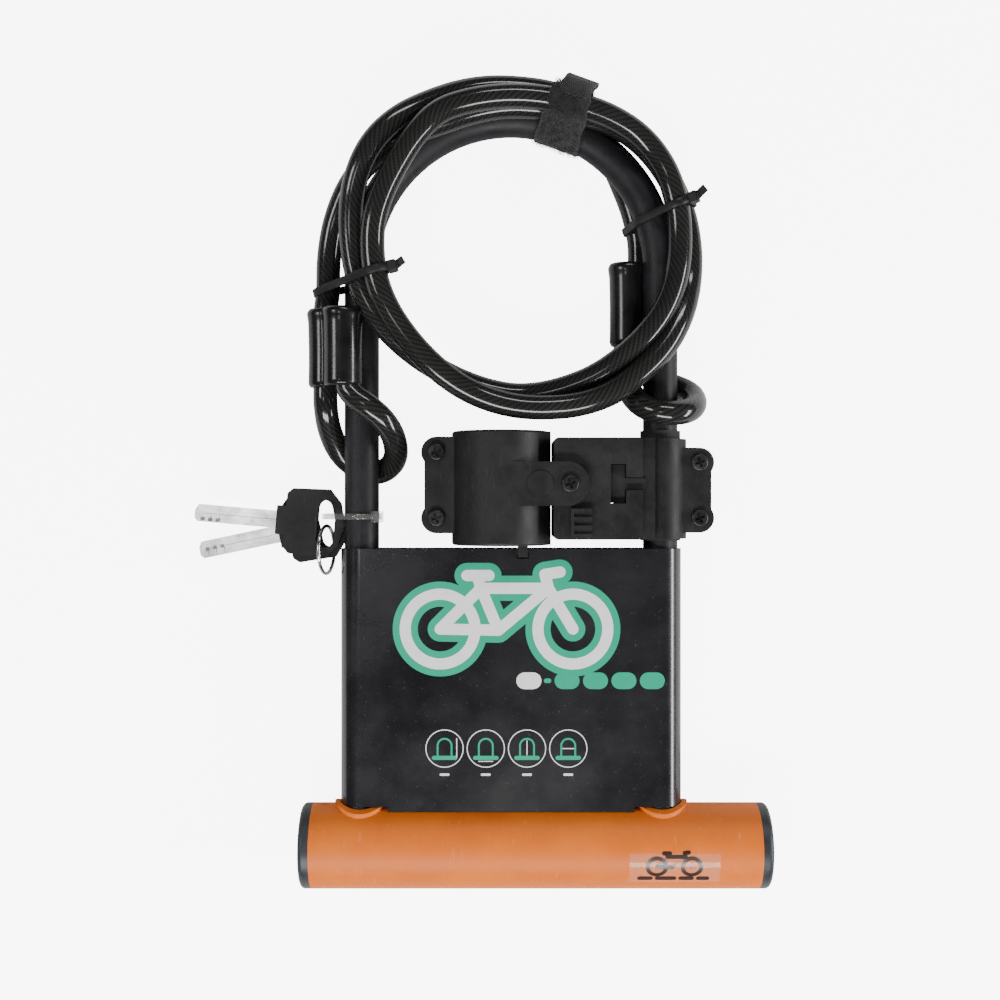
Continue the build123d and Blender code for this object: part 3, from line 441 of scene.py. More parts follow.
finish = {
    "orange_vinyl": grained("orange_vinyl", (0.76, 0.150, 0.004), (0.88, 0.190, 0.006), (0.46, 0.60),
                            1700, 38, 0.35, 0.00022, (0.86, 0.40, 0.16), 60, specular_ior_level=0.35),
    "black_vinyl": grained("black_vinyl", (0.009, 0.009, 0.011), (0.019, 0.018, 0.021), (0.42, 0.56),
                           1600, 55, 0.30, 0.00018, (0.08, 0.08, 0.09), specular_ior_level=0.35),
    "black_plastic": grained("black_nylon", (0.009, 0.009, 0.010), (0.018, 0.018, 0.019), (0.42, 0.60),
                             3200, 70, 0.38, 0.00014, (0.08, 0.08, 0.08), specular_ior_level=0.35),
    "black_gloss": grained("black_shrink_sleeve", (0.005, 0.005, 0.006), (0.011, 0.011, 0.012), (0.22, 0.36),
                           900, 80, 0.12, 0.00012, (0.05, 0.05, 0.05), coat_weight=0.4,
                           coat_roughness=0.08, specular_ior_level=0.3),
    "cap_plastic": grained("cap_plastic", (0.018, 0.021, 0.024), (0.034, 0.038, 0.043), (0.34, 0.52),
                           2400, 90, 0.25, 0.00012, (0.14, 0.15, 0.16)),
    "natural_nylon": grained("natural_nylon", (0.70, 0.68, 0.60), (0.82, 0.80, 0.74), (0.40, 0.55)),
    "black_rubber": grained("black_rubber", (0.010, 0.010, 0.010), (0.022, 0.022, 0.022), (0.60, 0.80),
                            2100, 70, 0.45, 0.00020),
    "steel_dark": grained("turned_steel", (0.30, 0.31, 0.32), (0.46, 0.47, 0.48), (0.28, 0.42), 1500, 90,
                          0.20, 0.00008, (0.5, 0.5, 0.5), 60, 1.0),
    "steel_bright": grained("nickel_plate", (0.62, 0.62, 0.63), (0.76, 0.76, 0.77), (0.14, 0.28), 1500, 120,
                            0.10, 0.00005, (0.8, 0.8, 0.8), 60, 1.0),
    "brass": grained("machined_brass", (0.60, 0.45, 0.20), (0.74, 0.58, 0.30), (0.22, 0.34), 1500, 100,
                     0.15, 0.00006, (0.8, 0.7, 0.5), 60, 1.0),
    "zinc_screw": grained("black_zinc", (0.020, 0.020, 0.021), (0.050, 0.050, 0.052), (0.30, 0.46), 1800, 160,
                          0.20, 0.00006, (0.15, 0.15, 0.15), 60, 0.5),
    "cable_jacket": cable_material(),
    "black_card": card_material(),
    "hook_loop": tape_material(),
    "clear_nylon": clear_material("clear_nylon", (0.20, 0.21, 0.20), 0.35),
}
pile_fibre = grained("pile_fibre", (0.004, 0.004, 0.005), (0.016, 0.016, 0.018), (0.70, 0.90))
label_film = clear_material("label_film", (0.90, 0.62, 0.42), 0.22)
white_ink = ink_material("white_ink", (0.98, 0.98, 0.98))
teal_ink = ink_material("teal_ink", (0.001, 0.42, 0.24))
brown_ink = ink_material("brown_ink", (0.035, 0.012, 0.008))

for part in frame["record"]["subparts"]:
    surface_data = frame["nodes"][part["node"]].data
    surface_data.materials.clear()
    surface_data.materials.append(finish[part["material_slot"]])

# ------------------------------------------------------------------ mesh helpers

def piece_of(name, mesh, material, body):
    """A finished mesh as a piece that rides on a body and takes the given material."""
    mesh.materials.clear()
    mesh.materials.append(material)
    made = bpy.data.objects.new(name, mesh)
    bpy.context.scene.collection.objects.link(made)
    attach(made, body)
    return made


def plain_mesh(name, points, faces):
    mesh = bpy.data.meshes.new(name)
    mesh.from_pydata([tuple(p) for p in points], [], faces)
    return mesh


def mesh_of(name, points, faces):
    """A smooth mesh with its doubles merged and its faces outwards."""
    mesh = plain_mesh(name, points, faces)
    work = bmesh.new()
    work.from_mesh(mesh)
    bmesh.ops.remove_doubles(work, verts=work.verts, dist=1e-7)
    bmesh.ops.recalc_face_normals(work, faces=work.faces)
    work.to_mesh(mesh)
    work.free()
    mesh.polygons.foreach_set("use_smooth", [True] * len(mesh.polygons))
    return mesh


def bevelled(mesh, width):
    """The mesh with its sharper edges rounded."""
    holder = bpy.data.objects.new("bevelled", mesh)
    bpy.context.scene.collection.objects.link(holder)
    modifier = holder.modifiers.new("bevel", "BEVEL")
    modifier.width = width
    modifier.segments = 2
    modifier.limit_method = "ANGLE"
    modifier.angle_limit = math.radians(35)
    result = bpy.data.meshes.new_from_object(holder.evaluated_get(bpy.context.evaluated_depsgraph_get()))
    bpy.data.objects.remove(holder)
    return result


def travel_frames(line):
    """Tangent and side directions along a line, turned as little as possible."""
    frames = []
    side = None
    for i in range(len(line)):
        ahead = (line[min(i + 1, len(line) - 1)] - line[max(i - 1, 0)]).normalized()
        if side is None:
            side = ahead.orthogonal().normalized()
        side = (side - ahead * side.dot(ahead)).normalized()
        frames.append((ahead, side, ahead.cross(side)))
    return frames


def tube_mesh(name, line, radius, around):
    """Round tube with closed ends and a UV map: u round it, v along it in metres."""
    points, faces, spots = [], [], []
    frames = travel_frames(line)
    travelled = 0.0
    for i, (centre, (ahead, side, across)) in enumerate(zip(line, frames)):
        travelled += (centre - line[i - 1]).length if i else 0.0
        for j in range(around):
            turn = 2 * math.pi * j / around
            points.append(centre + radius * (math.cos(turn) * side + math.sin(turn) * across))
        spots.append(travelled)
    for i in range(len(line) - 1):
        for j in range(around):
            k = (j + 1) % around
            faces.append((i * around + j, i * around + k, (i + 1) * around + k, (i + 1) * around + j))
    last = (len(line) - 1) * around
    faces.append(tuple(reversed(range(around))))
    faces.append(tuple(last + j for j in range(around)))
    mesh = plain_mesh(name, points, faces)
    mesh.polygons.foreach_set("use_smooth", [True] * len(mesh.polygons))
    flat = mesh.uv_layers.new(name="UVMap")
    for face in mesh.polygons:
        columns = [mesh.loops[n].vertex_index % around for n in face.loop_indices]
        wraps = max(columns) - min(columns) > around / 2
        for n, column in zip(face.loop_indices, columns):
            u = 1.0 if wraps and column == 0 else column / around
            flat.data[n].uv = (u, spots[mesh.loops[n].vertex_index // around])
    return mesh


def hull(points):
    """The corners of the smallest convex outline round flat points."""
    ordered = sorted(set(points))
    sides = []
    for run in (ordered, ordered[::-1]):
        kept = []
        for p in run:
            while len(kept) > 1 and ((kept[-1][0] - kept[-2][0]) * (p[1] - kept[-2][1])
                                     - (kept[-1][1] - kept[-2][1]) * (p[0] - kept[-2][0])) <= 0:
                kept.pop()
            kept.append(p)
        sides += kept[:-1]
    return sides


def even_loop(corners, count):
    """Points spaced evenly along a closed outline."""
    closed = np.array(corners + corners[:1], float)
    along = np.concatenate([[0], np.cumsum(np.linalg.norm(np.diff(closed, axis=0), axis=1))])
    at = np.linspace(0, along[-1], count, endpoint=False)
    return [(float(np.interp(s, along, closed[:, 0])), float(np.interp(s, along, closed[:, 1]))) for s in at]


def cut_through(centre, outward, reach):
    """Where the cable crosses the upright plane through centre along outward: (outward, height)."""
    across = Vector((-outward.y, outward.x, 0))
    found = []
    for a, b in zip(cable_line, cable_line[1:]):
        da, db = (a - centre).dot(across), (b - centre).dot(across)
        if da * db > 0 or da == db:
            continue
        spot = a.lerp(b, da / (da - db))
        far = (spot - centre).dot(outward)
        if reach[0] < far < reach[1]:
            found.append((far, spot.z))
    return found


def hugging_loop(rounds, gap, count):
    """Closed outline pulled tight round circles (place, height, radius), gap outside them."""
    spots = []
    for far, height, radius in rounds:
        for j in range(48):
            turn = 2 * math.pi * j / 48
            spots.append((far + (radius + gap) * math.cos(turn), height + (radius + gap) * math.sin(turn)))
    return even_loop(hull(spots), count)


def band_mesh(name, loop, centre, outward, width, wall, soften=0.25):
    """Flat band along a closed outline in the upright plane through centre along outward."""
    across = Vector((-outward.y, outward.x, 0))
    middle = [centre + outward * far + Vector((0, 0, height - centre.z)) for far, height in loop]
    edge = min(width, wall) * soften
    section = [(width / 2, -wall / 2 + edge), (width / 2, wall / 2 - edge), (width / 2 - edge, wall / 2),
               (-width / 2 + edge, wall / 2), (-width / 2, wall / 2 - edge), (-width / 2, -wall / 2 + edge),
               (-width / 2 + edge, -wall / 2), (width / 2 - edge, -wall / 2)]
    points, faces = [], []
    count, ring = len(middle), len(section)
    travelled, spots = 0.0, []
    for i, spot in enumerate(middle):
        ahead = (middle[(i + 1) % count] - middle[i - 1]).normalized()
        out = ahead.cross(across)
        points += [spot + across * s + out * t for s, t in section]
        spots.append(travelled)
        travelled += (middle[(i + 1) % count] - spot).length
    for i in range(count):
        for j in range(ring):
            k, n = (j + 1) % ring, (i + 1) % count
            faces.append((i * ring + j, i * ring + k, n * ring + k, n * ring + j))
    mesh = plain_mesh(name, points, faces)
    flat = mesh.uv_layers.new(name="UVMap")
    for face in mesh.polygons:
        rows = [mesh.loops[n].vertex_index // ring for n in face.loop_indices]
        wraps = max(rows) - min(rows) > 1
        for n, row in zip(face.loop_indices, rows):
            v = travelled if wraps and row == 0 else spots[row]
            s, t = section[mesh.loops[n].vertex_index % ring]
            flat.data[n].uv = (s + t, v)
    work = bmesh.new()
    work.from_mesh(mesh)
    bmesh.ops.recalc_face_normals(work, faces=work.faces)
    work.to_mesh(mesh)
    work.free()
    mesh.polygons.foreach_set("use_smooth", [True] * len(mesh.polygons))
    return mesh, middle


def block_mesh(name, size, place, turn, bevel):
    """Rounded block of a size at a place, turned by a matrix."""
    work = bmesh.new()
    bmesh.ops.create_cube(work, size=1.0)
    bmesh.ops.scale(work, vec=size, verts=work.verts)
    mesh = bpy.data.meshes.new(name)
    work.to_mesh(mesh)
    work.free()
    mesh = bevelled(mesh, bevel)
    mesh.transform(Matrix.Translation(place) @ turn.to_4x4())
    return mesh


def joined(name, meshes):
    """Several meshes as one."""
    work = bmesh.new()
    for mesh in meshes:
        work.from_mesh(mesh)
    result = bpy.data.meshes.new(name)
    work.to_mesh(result)
    work.free()
    return result


# ------------------------------------------------------------------ geometry node trees

def geometry_tree(name, inputs):
    """An empty geometry tree with named inputs: label, socket kind and value."""
    tree = bpy.data.node_groups.new(name, "GeometryNodeTree")
    tree.interface.new_socket("Geometry", in_out="INPUT", socket_type="NodeSocketGeometry")
    tree.interface.new_socket("Geometry", in_out="OUTPUT", socket_type="NodeSocketGeometry")
    for label, kind, value in inputs:
        socket = tree.interface.new_socket(label, in_out="INPUT", socket_type=kind)
        if value is not None:
            socket.default_value = value
    return tree, tree.nodes.new("NodeGroupInput"), tree.nodes.new("NodeGroupOutput")


def grown(name, source, tree, values):
    """The plain mesh that a geometry tree makes from a source mesh."""
    holder = bpy.data.objects.new(name, source)
    bpy.context.scene.collection.objects.link(holder)
    modifier = holder.modifiers.new(name, "NODES")
    modifier.node_group = tree
    for item in tree.interface.items_tree:
        if item.item_type == "SOCKET" and item.in_out == "INPUT" and item.name in values:
            modifier[item.identifier] = values[item.name]
    depsgraph = bpy.context.evaluated_depsgraph_get()
    result = bpy.data.meshes.new_from_object(holder.evaluated_get(depsgraph))
    bpy.data.objects.remove(holder)
    return result


def wire(tree, links):
    """Joins nodes. Each link is a node, its output, the next node and its input."""
    for source, output, target, entry in links:
        tree.links.new(source.outputs[output], target.inputs[entry])


def teeth_tree():
    """Small cross teeth along a line, for the ribbed side of a tie."""
    tree, given, result = geometry_tree("tie_teeth", [
        ("Spacing", "NodeSocketFloat", 0.0011), ("Tooth Size", "NodeSocketVector", (0.002, 0.0004, 0.0005)),
        ("Across", "NodeSocketVector", (0.0, 1.0, 0.0)), ("Material", "NodeSocketMaterial", None)])
    add = tree.nodes.new
    curve = add("GeometryNodeMeshToCurve")
    spread = add("GeometryNodeCurveToPoints")
    spread.mode = "LENGTH"
    tooth = add("GeometryNodeMeshCube")
    upright = add("FunctionNodeAlignRotationToVector")
    upright.axis = "Z"
    level = add("FunctionNodeAlignRotationToVector")
    level.axis = "X"
    level.pivot_axis = "Z"
    place = add("GeometryNodeInstanceOnPoints")
    real = add("GeometryNodeRealizeInstances")
    paint = add("GeometryNodeSetMaterial")
    wire(tree, [
        (given, "Geometry", curve, "Mesh"), (curve, "Curve", spread, "Curve"),
        (given, "Spacing", spread, "Length"), (given, "Tooth Size", tooth, "Size"),
        (spread, "Points", place, "Points"), (tooth, "Mesh", place, "Instance"),
        (spread, "Tangent", upright, "Vector"), (upright, "Rotation", level, "Rotation"),
        (given, "Across", level, "Vector"), (level, "Rotation", place, "Rotation"),
        (place, "Instances", real, "Geometry"), (real, "Geometry", paint, "Geometry"),
        (given, "Material", paint, "Material"), (paint, "Geometry", result, "Geometry")])
    return tree


def pile_tree():
    """Short bent fibres standing on a surface at random, for the soft side of a strap."""
    tree, given, result = geometry_tree("soft_pile", [
        ("Density", "NodeSocketFloat", 1.0e6), ("Fibre Length", "NodeSocketFloat", 0.0016),
        ("Fibre Radius", "NodeSocketFloat", 0.00007), ("Seed", "NodeSocketInt", 4),
        ("Material", "NodeSocketMaterial", None)])
    add = tree.nodes.new
    scatter = add("GeometryNodeDistributePointsOnFaces")
    arc = add("GeometryNodeCurvePrimitiveBezierSegment")
    arc.inputs["Resolution"].default_value = 3
    arc.inputs["Start"].default_value = (0.0, 0.0, 0.0)
    reach = add("ShaderNodeCombineXYZ")
    bow = add("ShaderNodeCombineXYZ")
    profile = add("GeometryNodeCurvePrimitiveCircle")
    profile.inputs["Resolution"].default_value = 3
    fibre = add("GeometryNodeCurveToMesh")
    swing = add("FunctionNodeRandomValue")
    swing.data_type = "FLOAT_VECTOR"
    swing.inputs["Min"].default_value = (-0.9, -0.9, -3.14)
    swing.inputs["Max"].default_value = (0.9, 0.9, 3.14)
    turn = add("FunctionNodeRotateRotation")
    turn.rotation_space = "LOCAL"
    size = add("FunctionNodeRandomValue")
    size.inputs[2].default_value = 0.5
    size.inputs[3].default_value = 1.2
    place = add("GeometryNodeInstanceOnPoints")
    real = add("GeometryNodeRealizeInstances")
    paint = add("GeometryNodeSetMaterial")
    wire(tree, [
        (given, "Geometry", scatter, "Mesh"), (given, "Density", scatter, "Density"),
        (given, "Seed", scatter, "Seed"), (given, "Seed", swing, "Seed"), (given, "Seed", size, "Seed"),
        (given, "Fibre Length", reach, "Z"), (given, "Fibre Length", bow, "X"),
        (given, "Fibre Length", bow, "Z"), (reach, "Vector", arc, "Start Handle"),
        (bow, "Vector", arc, "End"), (bow, "Vector", arc, "End Handle"),
        (given, "Fibre Radius", profile, "Radius"), (arc, "Curve", fibre, "Curve"),
        (profile, "Curve", fibre, "Profile Curve"), (scatter, "Points", place, "Points"),
        (scatter, "Rotation", turn, "Rotation"), (swing, "Value", turn, "Rotate By"),
        (turn, "Rotation", place, "Rotation"), (size, 1, place, "Scale"),
        (fibre, "Mesh", place, "Instance"), (place, "Instances", real, "Geometry"),
        (real, "Geometry", paint, "Geometry"), (given, "Material", paint, "Material"),
        (paint, "Geometry", result, "Geometry")])
    return tree


tie_teeth = teeth_tree()
soft_pile = pile_tree()

# ------------------------------------------------------------------ cable and its crimps

cable = piece_of("cable", tube_mesh("cable", cable_line, cable_radius, 24), finish["cable_jacket"],
                 "shackle")
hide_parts("cable_coil", "cable_tail", "cable_loop_left", "cable_loop_right")


def lobed_outline(near, far, radius, count):
    """Points round two lobes side by side, with the valleys between them partly filled."""
    waist = 0.96
    middle = (near + far) / 2
    apart = (far - near).length / 2
    along = (far - near).normalized()
    across = Vector((-along.y, along.x))
    outline = []
    for j in range(count):
        turn = 2 * math.pi * j / count
        cosine, sine = math.cos(turn), math.sin(turn)
        reach = apart * abs(cosine) + math.sqrt(max(radius**2 - (apart * sine) ** 2, 0.0))
        filled = radius + apart * abs(cosine)
        size = max(reach if radius > apart * abs(sine) else 0.0, filled * waist + reach * (1 - waist))
        outline.append(middle + size * (along * cosine + across * sine))
    return outline


def crimp_sleeve(name, node, lobes, y_low, y_high):
    """Shrunk cover over a crimp: rounded lips, a shallow waist and a slight taper."""
    near, far = Vector(lobes[0]), Vector(lobes[1])
    middle = (near + far) / 2
    rings = 26
    count = 56
    points, faces = [], []
    lip = 0.0012
    for i in range(rings + 1):
        share = i / rings
        y = y_low + (y_high - y_low) * share
        edge = min(y - y_low, y_high - y)
        rounded = math.sqrt(max(0.0, 1 - (1 - min(edge / lip, 1.0)) ** 2))
        collar = 0.0004 * math.exp(-((share - 0.93) / 0.05) ** 2)
        wall = cable_radius + 0.0011 + 0.0004 * share - 0.0003 * math.sin(math.pi * share) + collar
        for spot in lobed_outline(near, far, wall, count):
            drawn = middle + (spot - middle) * (1 - 0.07 * (1 - rounded))
            points.append(lock(drawn.x, y, drawn.y))
    for i in range(rings):
        for j in range(count):
            k = (j + 1) % count
            faces.append((i * count + j, i * count + k, (i + 1) * count + k, (i + 1) * count + j))
    top = rings * count
    faces.append(tuple(range(count)))
    faces.append(tuple(top + j for j in range(count)))
    made = piece_of(name, mesh_of(name, points, faces), finish["black_gloss"], "shackle")
    for face in made.data.polygons:
        if len(face.vertices) > 4:
            face.use_smooth = False
    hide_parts(node)
    return made


crimp_sleeves = [
    crimp_sleeve("crimp_sleeve_left", "crimp_cover_left", ((-0.0806, 0.0210), (-0.0706, 0.0315)),
                 0.1990, 0.2326),
    crimp_sleeve("crimp_sleeve_right", "crimp_cover_right", ((0.0572, 0.0066), (0.0502, 0.0149)),
                 0.2180, 0.2540)]

# ------------------------------------------------------------------ zip ties

def upright_plane(degrees):
    """The outward and across directions of an upright plane at a direction round the bend."""
    turn = math.radians(degrees)
    outward = Vector((math.cos(turn), math.sin(turn), 0))
    return outward, Vector((-outward.y, outward.x, 0))


def zip_tie(name, node, centre, degrees, reach, posts, head_turn, tail_length):
    """Tie pulled tight round the cable and the bar, with its head, cut end and inner teeth."""
    width, wall = 0.0034, 0.0011
    outward, across = upright_plane(degrees)
    rounds = [(far, height, cable_radius) for far, height in cut_through(centre, outward, reach)]
    rounds += [(far, axis_z, vinyl_radius) for far in posts]
    loop = hugging_loop(rounds, wall / 2 + 0.0002, 160)
    band, middle = band_mesh(name, loop, centre, outward, width, wall)
    want = Vector((math.cos(head_turn), math.sin(head_turn)))
    spot = max(range(len(loop)), key=lambda i: Vector(loop[i]).dot(want))
    place = middle[spot]
    ahead = (middle[(spot + 1) % len(middle)] - middle[spot - 1]).normalized()
    out = ahead.cross(across).normalized()
    if out.dot(outward * want.x + Vector((0, 0, want.y))) < 0:
        out = -out
    frame_turn = Matrix((across, ahead, out)).transposed()
    head_size = (width + 0.0018, 0.0052, 0.0042)
    head = block_mesh("head", head_size, place + out * 0.0016, frame_turn, 0.0007)
    slot_lip = block_mesh("lip", (width * 0.7, 0.0036, 0.0008), place + out * 0.0040, frame_turn, 0.0002)
    leaning = (out + ahead * 0.25 + across * 0.35).normalized()
    side = leaning.cross(ahead).normalized()
    tail_turn = Matrix((side, leaning.cross(side), leaning)).transposed()
    cut_end = block_mesh("cut", (width, wall, tail_length), place + out * 0.003 + leaning * tail_length / 2,
                         tail_turn, 0.0002)
    material = finish["black_plastic"]
    body = piece_of(name, joined(name, [band, head, slot_lip, cut_end]), material, "shackle")
    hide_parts(node)
    line = bpy.data.meshes.new("line")
    inner = hugging_loop(rounds, 0.00022, 200)
    line.from_pydata([centre + outward * a + Vector((0, 0, b - centre.z)) for a, b in inner],
                     [(i, (i + 1) % len(inner)) for i in range(len(inner))], [])
    teeth = grown(name + "_teeth", line, tie_teeth, {
        "Spacing": 0.0011, "Tooth Size": (width * 0.62, 0.0003, 0.0005), "Across": across,
        "Material": material})
    piece_of(name + "_teeth", teeth, material, "shackle")


zip_tie("left_zip_tie", "zip_tie_left", lock(-leg_x, 0.245, 0.02), 14, (-0.030, 0.022), [0.0],
        0.1, 0.0045)
zip_tie("right_zip_tie", "zip_tie_right", lock(0, bend_y, 0.02), 20, (0.050, 0.095), [leg_x],
        0.35, 0.0055)

# ------------------------------------------------------------------ hook-and-loop strap

strap_turn = 70               # direction in degrees round the bend


def strap():
    """Tape wound round the bend and the coil, with its soft pile."""
    centre = lock(0, bend_y, 0.02)
    outward, across = upright_plane(strap_turn)
    rounds = [(far, height, cable_radius) for far, height in cut_through(centre, outward, (0.05, 0.10))]
    rounds.append((leg_x, axis_z, vinyl_radius))
    width, wall = 0.0195, 0.0012
    loop = hugging_loop(rounds, wall / 2 + 0.0003, 180)
    band, _ = band_mesh("strap_tape", loop, centre, outward, width, wall, 0.3)
    for vertex in band.vertices:
        far = (vertex.co - centre).dot(outward)
        narrow = 1 - 0.30 * min(max((far - 0.062) / 0.022, 0.0), 1.0)
        side = (vertex.co - centre).dot(across)
        ruffle = 0.0004 * math.sin(far * 900) * (1 if side > 0 else -1)
        vertex.co += across * (side * (narrow - 1) + ruffle)
    tape = piece_of("strap_tape", band, finish["hook_loop"], "shackle")
    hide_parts("strap")
    pile = grown("strap_pile", band.copy(), soft_pile, {
        "Density": 1.3e6, "Fibre Length": 0.0014, "Fibre Radius": 0.00006, "Seed": 4,
        "Material": pile_fibre})
    fuzz = piece_of("strap_pile", pile, pile_fibre, "shackle")


strap()


def strap_end():
    """The strap's free end, folded over itself at the outside of the coil."""
    outward, across = upright_plane(strap_turn)
    width = 0.0130
    centre = lock(0, bend_y, 0)
    profile = [(0.0715, 0.0484), (0.0745, 0.0480), (0.0775, 0.0465), (0.0800, 0.0440), (0.0818, 0.0412),
               (0.0828, 0.0386), (0.0824, 0.0372), (0.0812, 0.0380), (0.0800, 0.0404), (0.0784, 0.0428),
               (0.0762, 0.0448), (0.0738, 0.0458), (0.0712, 0.0462)]
    points, faces = [], []
    for far, height in profile:
        spot = centre + outward * far + Vector((0, 0, height))
        lean = across * (0.0012 + 0.35 * (0.047 - height) * 0.5)
        points += [spot + across * width / 2 - lean, spot - across * width / 2 - lean]
    for i in range(len(profile) - 1):
        faces.append((2 * i, 2 * i + 1, 2 * i + 3, 2 * i + 2))
    sheet = mesh_of("strap_end", points, faces)
    holder = bpy.data.objects.new("strap_end", sheet)
    bpy.context.scene.collection.objects.link(holder)
    smooth = holder.modifiers.new("smooth", "SUBSURF")
    smooth.levels = smooth.render_levels = 2
    thick = holder.modifiers.new("thick", "SOLIDIFY")
    thick.thickness = 0.0009
    thick.offset = 0
    made = bpy.data.meshes.new_from_object(holder.evaluated_get(bpy.context.evaluated_depsgraph_get()))
    bpy.data.objects.remove(holder)
    flat = made.uv_layers.new(name="UVMap") if not made.uv_layers else made.uv_layers[0]
    for loop in made.loops:
        spot = made.vertices[loop.vertex_index].co - centre
        flat.data[loop.index].uv = (spot.dot(across), spot.dot(outward) + spot.z)
    piece_of("strap_end", made, finish["hook_loop"], "shackle")


strap_end()

# ------------------------------------------------------------------ printed art on the card

ink_step = 0.000002           # each shape lies this much above the one before it


def bar(x0, y0, x1, y1, radius):
    """A line with round ends."""
    count = 10
    turn = math.atan2(y1 - y0, x1 - x0)
    outline = []
    for x, y, start in ((x1, y1, turn - math.pi / 2), (x0, y0, turn + math.pi / 2)):
        for j in range(count + 1):
            at = start + math.pi * j / count
            outline.append((x + radius * math.cos(at), y + radius * math.sin(at)))
    return [outline]


def ring(x, y, inner, outer, start=0, end=360, count=60):
    """Flat ring, or part of one, as a row of four-cornered shapes."""
    shapes = []
    for j in range(count):
        a, b = (math.radians(start + (end - start) * k / count) for k in (j, j + 1))
        shapes.append([(x + r * math.cos(t), y + r * math.sin(t))
                       for r, t in ((inner, a), (outer, a), (outer, b), (inner, b))])
    return shapes


def printed(name, groups, place_of, material, body, thick):
    """Thin printed shapes. place_of gives a surface point from flat coordinates and a height."""
    points, faces = [], []
    for level, shapes in enumerate(groups):
        for outline in shapes:
            first = len(points)
            count = len(outline)
            for height in (0.0, thick + level * ink_step):
                points += [place_of(x, y, height) for x, y in outline]
            faces.append(tuple(first + count + j for j in range(count)))
            if count > 4:
                for j in range(count):
                    k = (j + 1) % count
                    faces.append((first + j, first + k, first + count + k, first + count + j))
    mesh = plain_mesh(name, points, faces)
    return piece_of(name, mesh, material, body)


card_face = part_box("card_sleeve")[1].z


def on_card(x, y, height):
    return lock(x, y, card_face + height)


def bicycle(grow, x0, y0, size=1.0):
    """Plain bicycle pictogram. grow widens its lines."""
    wide = 0.0024 * size + grow
    hubs = ((-0.030, 0.093), (0.027, 0.093))
    crank, saddle, head = (-0.005, 0.0925), (-0.0125, 0.1105), (0.0165, 0.1105)
    runs = [(hubs[0], crank), (hubs[0], saddle), (crank, saddle), (saddle, head), (crank, head),
            (head, hubs[1]), (saddle, (-0.0140, 0.1155)), (head, (0.0150, 0.1165)),
            ((-0.0185, 0.1160), (-0.0090, 0.1160)), ((0.0150, 0.1165), (0.0215, 0.1175))]
    middle = Vector((-0.0015, 0.0965))

    def fit(place):
        return x0 + (place[0] - middle.x) * size, y0 + (place[1] - middle.y) * size

    groups = []
    for hub in hubs:
        x, y = fit(hub)
        groups.append(ring(x, y, 0.0150 * size - wide, 0.0150 * size + wide))
    for start, end in runs:
        groups.append(bar(*fit(start), *fit(end), wide))
    return groups


def card_print():
    """Bicycle badge, word bars and a row of four pictograms."""
    badge = (-0.0020, 0.0985)
    teal = bicycle(0.0030, *badge)
    white = bicycle(0.0, *badge)
    for i in range(4):
        x = 0.0240 + 0.0122 * i
        teal.append(bar(x - 0.0018, 0.0728, x + 0.0018, 0.0728, 0.0036))
    teal.append(bar(0.0150, 0.0728, 0.0162, 0.0728, 0.0010))
    white.append(bar(0.0058, 0.0728, 0.0094, 0.0728, 0.0036))
    for i in range(4):
        x, y = -0.0286 + 0.0177 * i, 0.0437
        white.append(ring(x, y, 0.0078, 0.0082))
        white.append(bar(x - 0.0016, y - 0.0112, x + 0.0016, y - 0.0112, 0.0005))
        teal.append(ring(x, y + 0.0012, 0.0026, 0.0034, 0, 180, 24))
        teal.append(bar(x - 0.0030, y + 0.0012, x - 0.0030, y - 0.0030, 0.0004))
        teal.append(bar(x + 0.0030, y + 0.0012, x + 0.0030, y - 0.0030, 0.0004))
        teal.append(bar(x - 0.0046, y - 0.0040, x + 0.0046, y - 0.0040, 0.0009))
    white.append(bar(-0.0286 + 0.0052, 0.0400, -0.0286 + 0.0052, 0.0480, 0.0002))
    white.append(bar(-0.0109 - 0.0030, 0.0382, -0.0109 + 0.0030, 0.0382, 0.0002))
    white.append(bar(0.0068, 0.0410, 0.0068, 0.0470, 0.0002))
    white.append(bar(0.0245 - 0.0024, 0.0437, 0.0245 + 0.0024, 0.0437, 0.0002))
    printed("card_print_teal", teal, on_card, teal_ink, "shackle", 0.00003)
    printed("card_print_white", white, on_card, white_ink, "shackle", 0.00009)


card_print()

# ------------------------------------------------------------------ painted shade of the key blades' groove and pits

def painted_key_groove_shade(name, node, body, degrees, pit_offset):
    """Darker steel laid flat where a key blade's milled groove and three square pits lie near its tip:
    painted shade of those hollows.
    """
    turn = math.radians(degrees)
    along = Vector((-math.cos(turn), -math.sin(turn), 0))
    across = Vector((-along.y, along.x, 0))
    eye = lock(-0.0813, 0.1400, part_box(node)[1].z)
    shapes = [bar(0.0210, 0.0, 0.0545, 0.0, 0.00012)]
    half = 0.0008
    for i in range(3):
        x, y = 0.0545 - 0.0034 * i, pit_offset
        shapes.append([[(x + a * half, y + b * half) for a, b in ((-1, -1), (1, -1), (1, 1), (-1, 1))]])
    # These flat darker steel shapes are painted shade for the groove and pits, which are not cut into the
    # blade.
    printed(name, shapes, lambda x, y, h: eye + along * x + across * y + Vector((0, 0, h)),
            finish["steel_dark"], body, 0.00003)


painted_key_groove_shade("key_1_groove_shade", "key_1_blade", "upper_key", -5, 0.0026)
painted_key_groove_shade("key_2_groove_shade", "key_2_blade", "lower_key", 12, 0.0)

# ------------------------------------------------------------------ label on the crossbar

def on_bar(x, y, height):
    """A place on the crossbar's sleeve: y is measured round it from the top."""
    turn = y / sleeve_radius
    reach = sleeve_radius + height
    return lock(x, reach * math.sin(turn), axis_z + reach * math.cos(turn))


